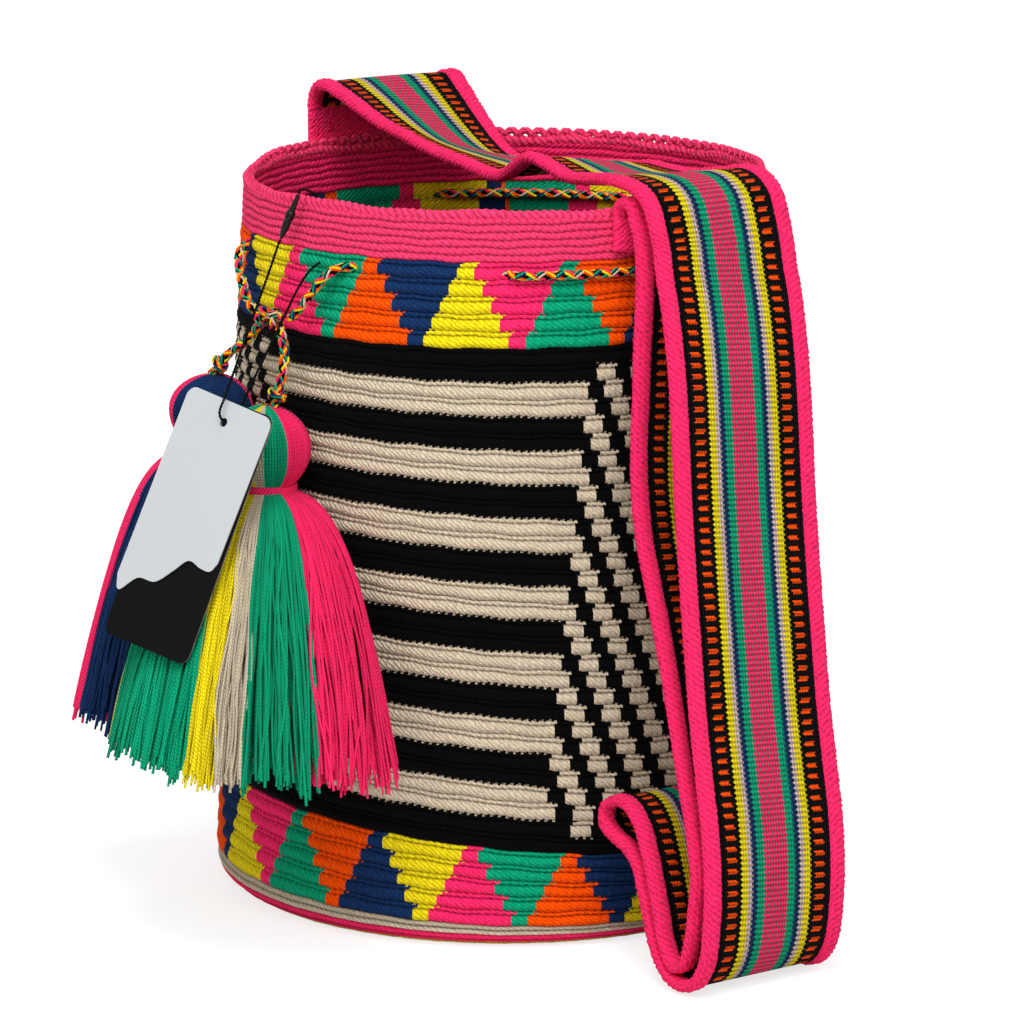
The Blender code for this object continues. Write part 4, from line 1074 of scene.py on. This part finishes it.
# The same line with twice the points, rounded at its corners
def smoothLine(line):
    middle = (line[:-1] + line[1:]) / 2
    inner = (line[:-2] + 6 * line[1:-1] + line[2:]) / 8
    made = np.empty((2 * len(line) - 1, 3))
    made[0], made[-1] = line[0], line[-1]
    made[1::2] = middle
    made[2:-1:2] = inner
    return made


# A few turns of yarn round the neck
def makeBinding(side, tassel, bodyName):
    head = atWall(*tassel["head"])
    turns = np.linspace(0, 2 * math.pi * 4, 161)
    high = tassel["neck"] + (turns / turns[-1] - 0.5) * tasselShape["bindingHigh"]
    radius = tasselShape["neckRadius"] + tasselShape["bindingOut"]
    rows = np.stack([head.x + radius * np.cos(turns), head.y + radius * np.sin(turns), high], 1)
    points, faces, uv = tubeMesh(rows, tasselShape["bindingThread"], 6, turns * radius)
    data = meshData(side + "Binding", points, faces, uv)
    material = threadMaterial(side + "BindingThread", yarn["pink"])
    linkObject(side + "Binding", data, material, body=bodyName, nodes=[f"tassel_{side}_binding"], slot="pink_yarn")


# The braid from the tie down to a small stop knot on top of the tassel
def makeCordEnd(side, tassel, bodyName, material):
    pivot, stop = atWall(*tassel["pivot"]), atWall(*tassel["stop"])
    bends = [atWall(*row) for row in tassel["route"]]
    start = pivot + (pivot - bends[0]).normalized() * drawstring["inKnot"]
    path, places = evenly(smoothPath([start, *bends, stop]), braid["fineSpacing"])
    parts = braidParts(path, drawstring["endRadius"], braid["fineSpacing"])
    cordEnd = joinedPiece(side + "CordEnd", parts, material, body=bodyName, nodes=[f"cord_end_{side}"],
                          slot="braid")
    axis = (stop - bends[-1]).normalized()
    first = axis.orthogonal().normalized()
    second = axis.cross(first)
    turns = np.linspace(0, 2 * math.pi * 1.6, 60)
    loop = [stop + (first * math.cos(t) + second * math.sin(t)) * 0.0026 + axis * 0.0011 * math.sin(t * 0.62)
            for t in turns]
    tail = [stop + axis * 0.0040, stop + axis * 0.0066]
    parts = braidParts(smoothPath(loop + tail, 0.0004), drawstring["stopRadius"], braid["fineSpacing"])
    knot = joinedPiece(side + "StopKnot", parts, material, body=bodyName, nodes=[f"cord_stop_{side}"],
                       slot="braid")


# Hang tag: two bare cards on a twisted string with a plastic lock

tag = {
    "width": 0.052, "thick": 0.0005, "top": 0.0085, "drop": 0.105, "corner": 0.005, "holeRadius": 0.0020,
    "hole": (7.7, 0.0459, 0.2333), "facing": 15.0, "lean": 21.0, "frontTurn": 10.5, "backTurn": 8.5,
    "string": 0.0006, "lockTop": (6.8, 0.0055, 0.327), "lockFoot": (2.9, 0.0078, 0.307),
    "wallHole": 11.6, "wallHoleHeight": 0.298, "lay": 0.0030, "plyAway": 0.00030, "ply": 0.00036,
    "cardGap": 0.0003, "stringPlay": 0.00045,
}


def cardAxes(turnDown):
    facing, lean, turn = (math.radians(value) for value in (tag["facing"], tag["lean"], turnDown))
    right = Vector((math.cos(facing), math.sin(facing), 0))
    outward = Vector((math.sin(facing) * math.cos(lean), -math.cos(facing) * math.cos(lean), math.sin(lean)))
    up = outward.cross(right)
    return right * math.cos(turn) - up * math.sin(turn), up * math.cos(turn) + right * math.sin(turn), outward


def cornerArc(x, y, radius, start):
    turns = [math.radians(start + 90 * i / 10) for i in range(11)]
    return [(x + radius * math.cos(t), y + radius * math.sin(t)) for t in turns]


def cardFoot(front):
    half = tag["width"] / 2
    if not front:
        inner, low = half - tag["corner"], -tag["drop"] + tag["corner"]
        return cornerArc(-inner, low, tag["corner"], 180) + cornerArc(inner, low, tag["corner"], 270)
    points = ((-half, -0.0800, 0), (-half + 0.0035, -0.0862, 0), (-half + 0.0120, -0.0780, 0),
              (-0.0040, -0.0765, 0), (0.0035, -0.0690, 0), (0.0100, -0.0620, 0), (half - 0.0080, -0.0630, 0),
              (half - 0.0025, -0.0625, 0), (half, -0.0580, 0))
    rows, _ = evenly(smoothPath(points), 0.0008)
    return [(row[0], row[1]) for row in rows]


# A card with rounded corners and a punched hole, its string at the top of the hole
def makeCard(name, front, bodyName, node, slot, face, edge):
    right, up, outward = cardAxes(tag["frontTurn"] if front else tag["backTurn"])
    hole = atWall(*tag["hole"])
    depth = 0.0 if front else -tag["thick"] - tag["cardGap"]
    half, top = tag["width"] / 2 - tag["corner"], tag["top"] - tag["corner"]
    outline = cornerArc(half, top, tag["corner"], 0) + cornerArc(-half, top, tag["corner"], 90) + cardFoot(front)
    drop = tag["holeRadius"] - tag["string"] - tag["stringPlay"]
    ring = [(tag["holeRadius"] * math.cos(2 * math.pi * i / 32),
             tag["holeRadius"] * math.sin(2 * math.pi * i / 32) - drop) for i in range(32)]
    shape = bmesh.new()
    edges = []
    for loop in (outline, ring):
        corners = [shape.verts.new(hole + right * x + up * y + outward * depth) for x, y in loop]
        edges += [shape.edges.new((corners[i - 1], corners[i])) for i in range(len(corners))]
    bmesh.ops.triangle_fill(shape, edges=edges, use_beauty=True)
    raised = bmesh.ops.extrude_face_region(shape, geom=shape.faces[:])
    moved = [piece for piece in raised["geom"] if isinstance(piece, bmesh.types.BMVert)]
    bmesh.ops.translate(shape, verts=moved, vec=outward * tag["thick"])
    bmesh.ops.recalc_face_normals(shape, faces=shape.faces)
    for polygon in shape.faces:
        polygon.material_index = 0 if abs(polygon.normal.dot(outward)) > 0.5 else 1
    data = bpy.data.meshes.new(name)
    shape.to_mesh(data)
    shape.free()
    data.materials.append(face)
    data.materials.append(edge)
    linkObject(name, data, None, body=bodyName, nodes=[node], slot=slot)


# From the lock over the rim, out through the wall, through both cards and back to the lock
def stringRoute(hole, outward, lockTop, lockFoot):
    drop = (lockFoot - lockTop).normalized()
    inside = -(bag["wall"] + 0.0018)
    rows = [lockTop - drop * 0.0003, lockTop - drop * 0.0025,
            atWall(7.6, -bag["wall"] / 2, bag["height"] + 0.00225), atWall(8.0, inside, bag["height"] - 0.002),
            atWall(9.8, inside, bag["height"] - 0.014), atWall(11.3, inside, tag["wallHoleHeight"] + 0.0035),
            atWall(tag["wallHole"], -bag["wall"], tag["wallHoleHeight"]),
            atWall(tag["wallHole"], 0, tag["wallHoleHeight"]),
            atWall(tag["wallHole"], 0.0022, tag["wallHoleHeight"] - 0.0004),
            atWall(11.7, 0.0090, tag["wallHoleHeight"] - 0.0040),
            atWall(11.5, 0.0150, tag["wallHoleHeight"] - 0.0110),
            atWall(11.0, 0.0192, tag["wallHoleHeight"] - 0.0190)]
    start, behind = rows[-1], hole - outward * 0.0050
    rows += [start.lerp(behind, share) for share in (0.3, 0.65, 0.93)]
    front = hole + outward * 0.0052
    rows += [hole - outward * 0.0022, hole, hole + outward * 0.0026, front.lerp(lockFoot, 0.03)]
    rows += [front.lerp(lockFoot, share) for share in (0.12, 0.4, 0.7, 0.86)]
    return rows + [lockFoot + drop * 0.003, lockFoot + drop * 0.0003]


# A plastic piece turned about the line from start to end. Profile rows are (share, radius)
def turnedPiece(name, start, end, profile, material, node):
    axis = end - start
    first = axis.orthogonal().normalized()
    second = axis.normalized().cross(first)
    turns = np.linspace(0, 2 * math.pi, 24, endpoint=False)
    fine = np.linspace(0, 1, 40)
    radii = np.interp(fine, [row[0] for row in profile], [row[1] for row in profile])
    points = [start + axis * float(share) + (first * math.cos(t) + second * math.sin(t)) * float(radius)
              for share, radius in zip(fine, radii) for t in turns]
    faces = gridFaces(40, 24, closed=True, flip=True)
    data = meshData(name, np.array([tuple(p) for p in points]), faces)
    return linkObject(name, data, material, nodes=[node], slot="lock_plastic")


def makeTag():
    paper = plainMaterial("paperFace", linear(192, 196, 198), 0.6, 0.2)
    paperEdge = plainMaterial("paperEdge", linear(150, 150, 150), 0.8, 0.2)
    dark = plainMaterial("darkCard", linear(5, 5, 6), 0.6, 0.12)
    darkEdge = plainMaterial("darkEdge", linear(120, 115, 108), 0.8, 0.2)
    makeCard("frontCard", True, "card_front", "tag_card_front", "card_white", paper, paperEdge)
    makeCard("backCard", False, "card_back", "tag_card_back", "card_black", dark, darkEdge)
    hole, outward = atWall(*tag["hole"]), cardAxes(0)[2]
    lockTop, lockFoot = atWall(*tag["lockTop"]), atWall(*tag["lockFoot"])
    middle = lockTop.lerp(lockFoot, 0.48)
    plastic = plainMaterial("lockPlastic", linear(5, 5, 6), 0.32, 0.3)
    pin = turnedPiece("lockPin", lockTop, middle, ((0, 0.0006), (0.04, 0.0009), (0.55, 0.0013), (0.78, 0.0015),
                                                   (0.84, 0.0021), (0.98, 0.0021), (1, 0.0004)), plastic,
                      "tag_lock_pin")
    socket = turnedPiece("lockSocket", middle, lockFoot, ((0, 0.0004), (0.02, 0.0021), (0.12, 0.0021),
                                                          (0.16, 0.0017), (0.5, 0.0018), (0.85, 0.0011),
                                                          (1, 0.0005)), plastic, "tag_lock_socket")
    path, places = evenly(smoothPath(stringRoute(hole, outward, lockTop, lockFoot), 0.0004), 0.0004)
    first, second = framesAlong(path)
    parts = []
    for k in range(2):
        turn = math.pi * k + 2 * math.pi * places / tag["lay"]
        centre = path[:, :3] + (first * np.cos(turn)[:, None] + second * np.sin(turn)[:, None]) * tag["plyAway"]
        parts.append((*tubeMesh(centre, tag["ply"], 6, places), np.array(linear(12, 12, 13))))
    cordYarn = threadMaterial("stringYarn", None, 0.0008, 0.00008)
    string = joinedPiece("tagString", parts, cordYarn, nodes=["tag_string"], slot="black_string")


# Floor, backdrop and light

stage = {
    "size": 6.0, "floorWhite": 0.72, "floorGrey": 0.45, "world": 0.56,
    "lamps": (("key", (0.9, -2.2, 2.0), 17, 1.4), ("fill", (2.1, -0.6, 1.9), 18, 1.4),
              ("top", (0.9, -0.7, 2.3), 25, 0.9)),
}


def makeStage():
    scene = bpy.context.scene
    scene.view_settings.view_transform = "Standard"
    floorMaterial, tree, shader = nodeTree("floor")
    shader.inputs["Base Color"].default_value = (0.8, 0.8, 0.8, 1)
    shader.inputs["Roughness"].default_value = 0.9
    plain = tree.nodes.new("ShaderNodeBsdfDiffuse")
    plain.inputs["Color"].default_value = (*[stage["floorGrey"]] * 3, 1)
    glow = tree.nodes.new("ShaderNodeEmission")
    glow.inputs["Strength"].default_value = stage["floorWhite"]
    both, pick = tree.nodes.new("ShaderNodeAddShader"), tree.nodes.new("ShaderNodeMixShader")
    seen = tree.nodes.new("ShaderNodeLightPath")
    tree.links.new(plain.outputs[0], both.inputs[0])
    tree.links.new(glow.outputs[0], both.inputs[1])
    tree.links.new(seen.outputs["Is Camera Ray"], pick.inputs[0])
    tree.links.new(shader.outputs[0], pick.inputs[1])
    tree.links.new(both.outputs[0], pick.inputs[2])
    tree.links.new(pick.outputs[0], tree.nodes["Material Output"].inputs["Surface"])
    data = bpy.data.meshes.new("floor")
    size = stage["size"]
    data.from_pydata([(-size, -size, 0), (size, -size, 0), (size, size, 0), (-size, size, 0)], [], [(0, 1, 2, 3)])
    data.materials.append(floorMaterial)
    floor = bpy.data.objects.new("floor", data)
    floor.location.z = -0.0008
    scene.collection.objects.link(floor)
    world = bpy.data.worlds.new("soft")
    world.use_nodes = True
    scene.world = world
    nodes, links = world.node_tree.nodes, world.node_tree.links
    background = nodes["Background"]
    background.inputs["Color"].default_value = (1, 1, 1, 1)
    background.inputs["Strength"].default_value = stage["world"]
    bright = nodes.new("ShaderNodeBackground")
    bright.inputs["Color"].default_value = (1, 1, 1, 1)
    bright.inputs["Strength"].default_value = 1.0
    path = nodes.new("ShaderNodeLightPath")
    mix = nodes.new("ShaderNodeMixShader")
    links.new(path.outputs["Is Camera Ray"], mix.inputs[0])
    links.new(background.outputs[0], mix.inputs[1])
    links.new(bright.outputs[0], mix.inputs[2])
    links.new(mix.outputs[0], nodes["World Output"].inputs["Surface"])
    for name, place, power, wide in stage["lamps"]:
        lamp = bpy.data.lights.new(name, "AREA")
        lamp.energy = power
        lamp.size = wide
        made = bpy.data.objects.new(name, lamp)
        made.location = place
        made.rotation_euler = (Vector((0, 0, 0.15)) - Vector(place)).to_track_quat("-Z", "Y").to_euler()
        scene.collection.objects.link(made)


makeBody()
print("stage: body")
makeLace(crochetMaterial("laceCrochet", along=1.0, down=1.0, distance=0.0005, dark=0.55))
strapBand, strapEdges, strapLength = makeStrap()
print("stage: strap")
braidYarn = threadMaterial("braidYarn", None, 0.0012, 0.00012)
makeDrawstring(braidYarn)
print("stage: drawstring")
sweepTree, sweepKeys = threadTree()
for sideName, settings in tassels.items():
    makeTassel(sideName, settings, sweepTree, sweepKeys, braidYarn)
print("stage: tassels")
makeTag()
makeStage()
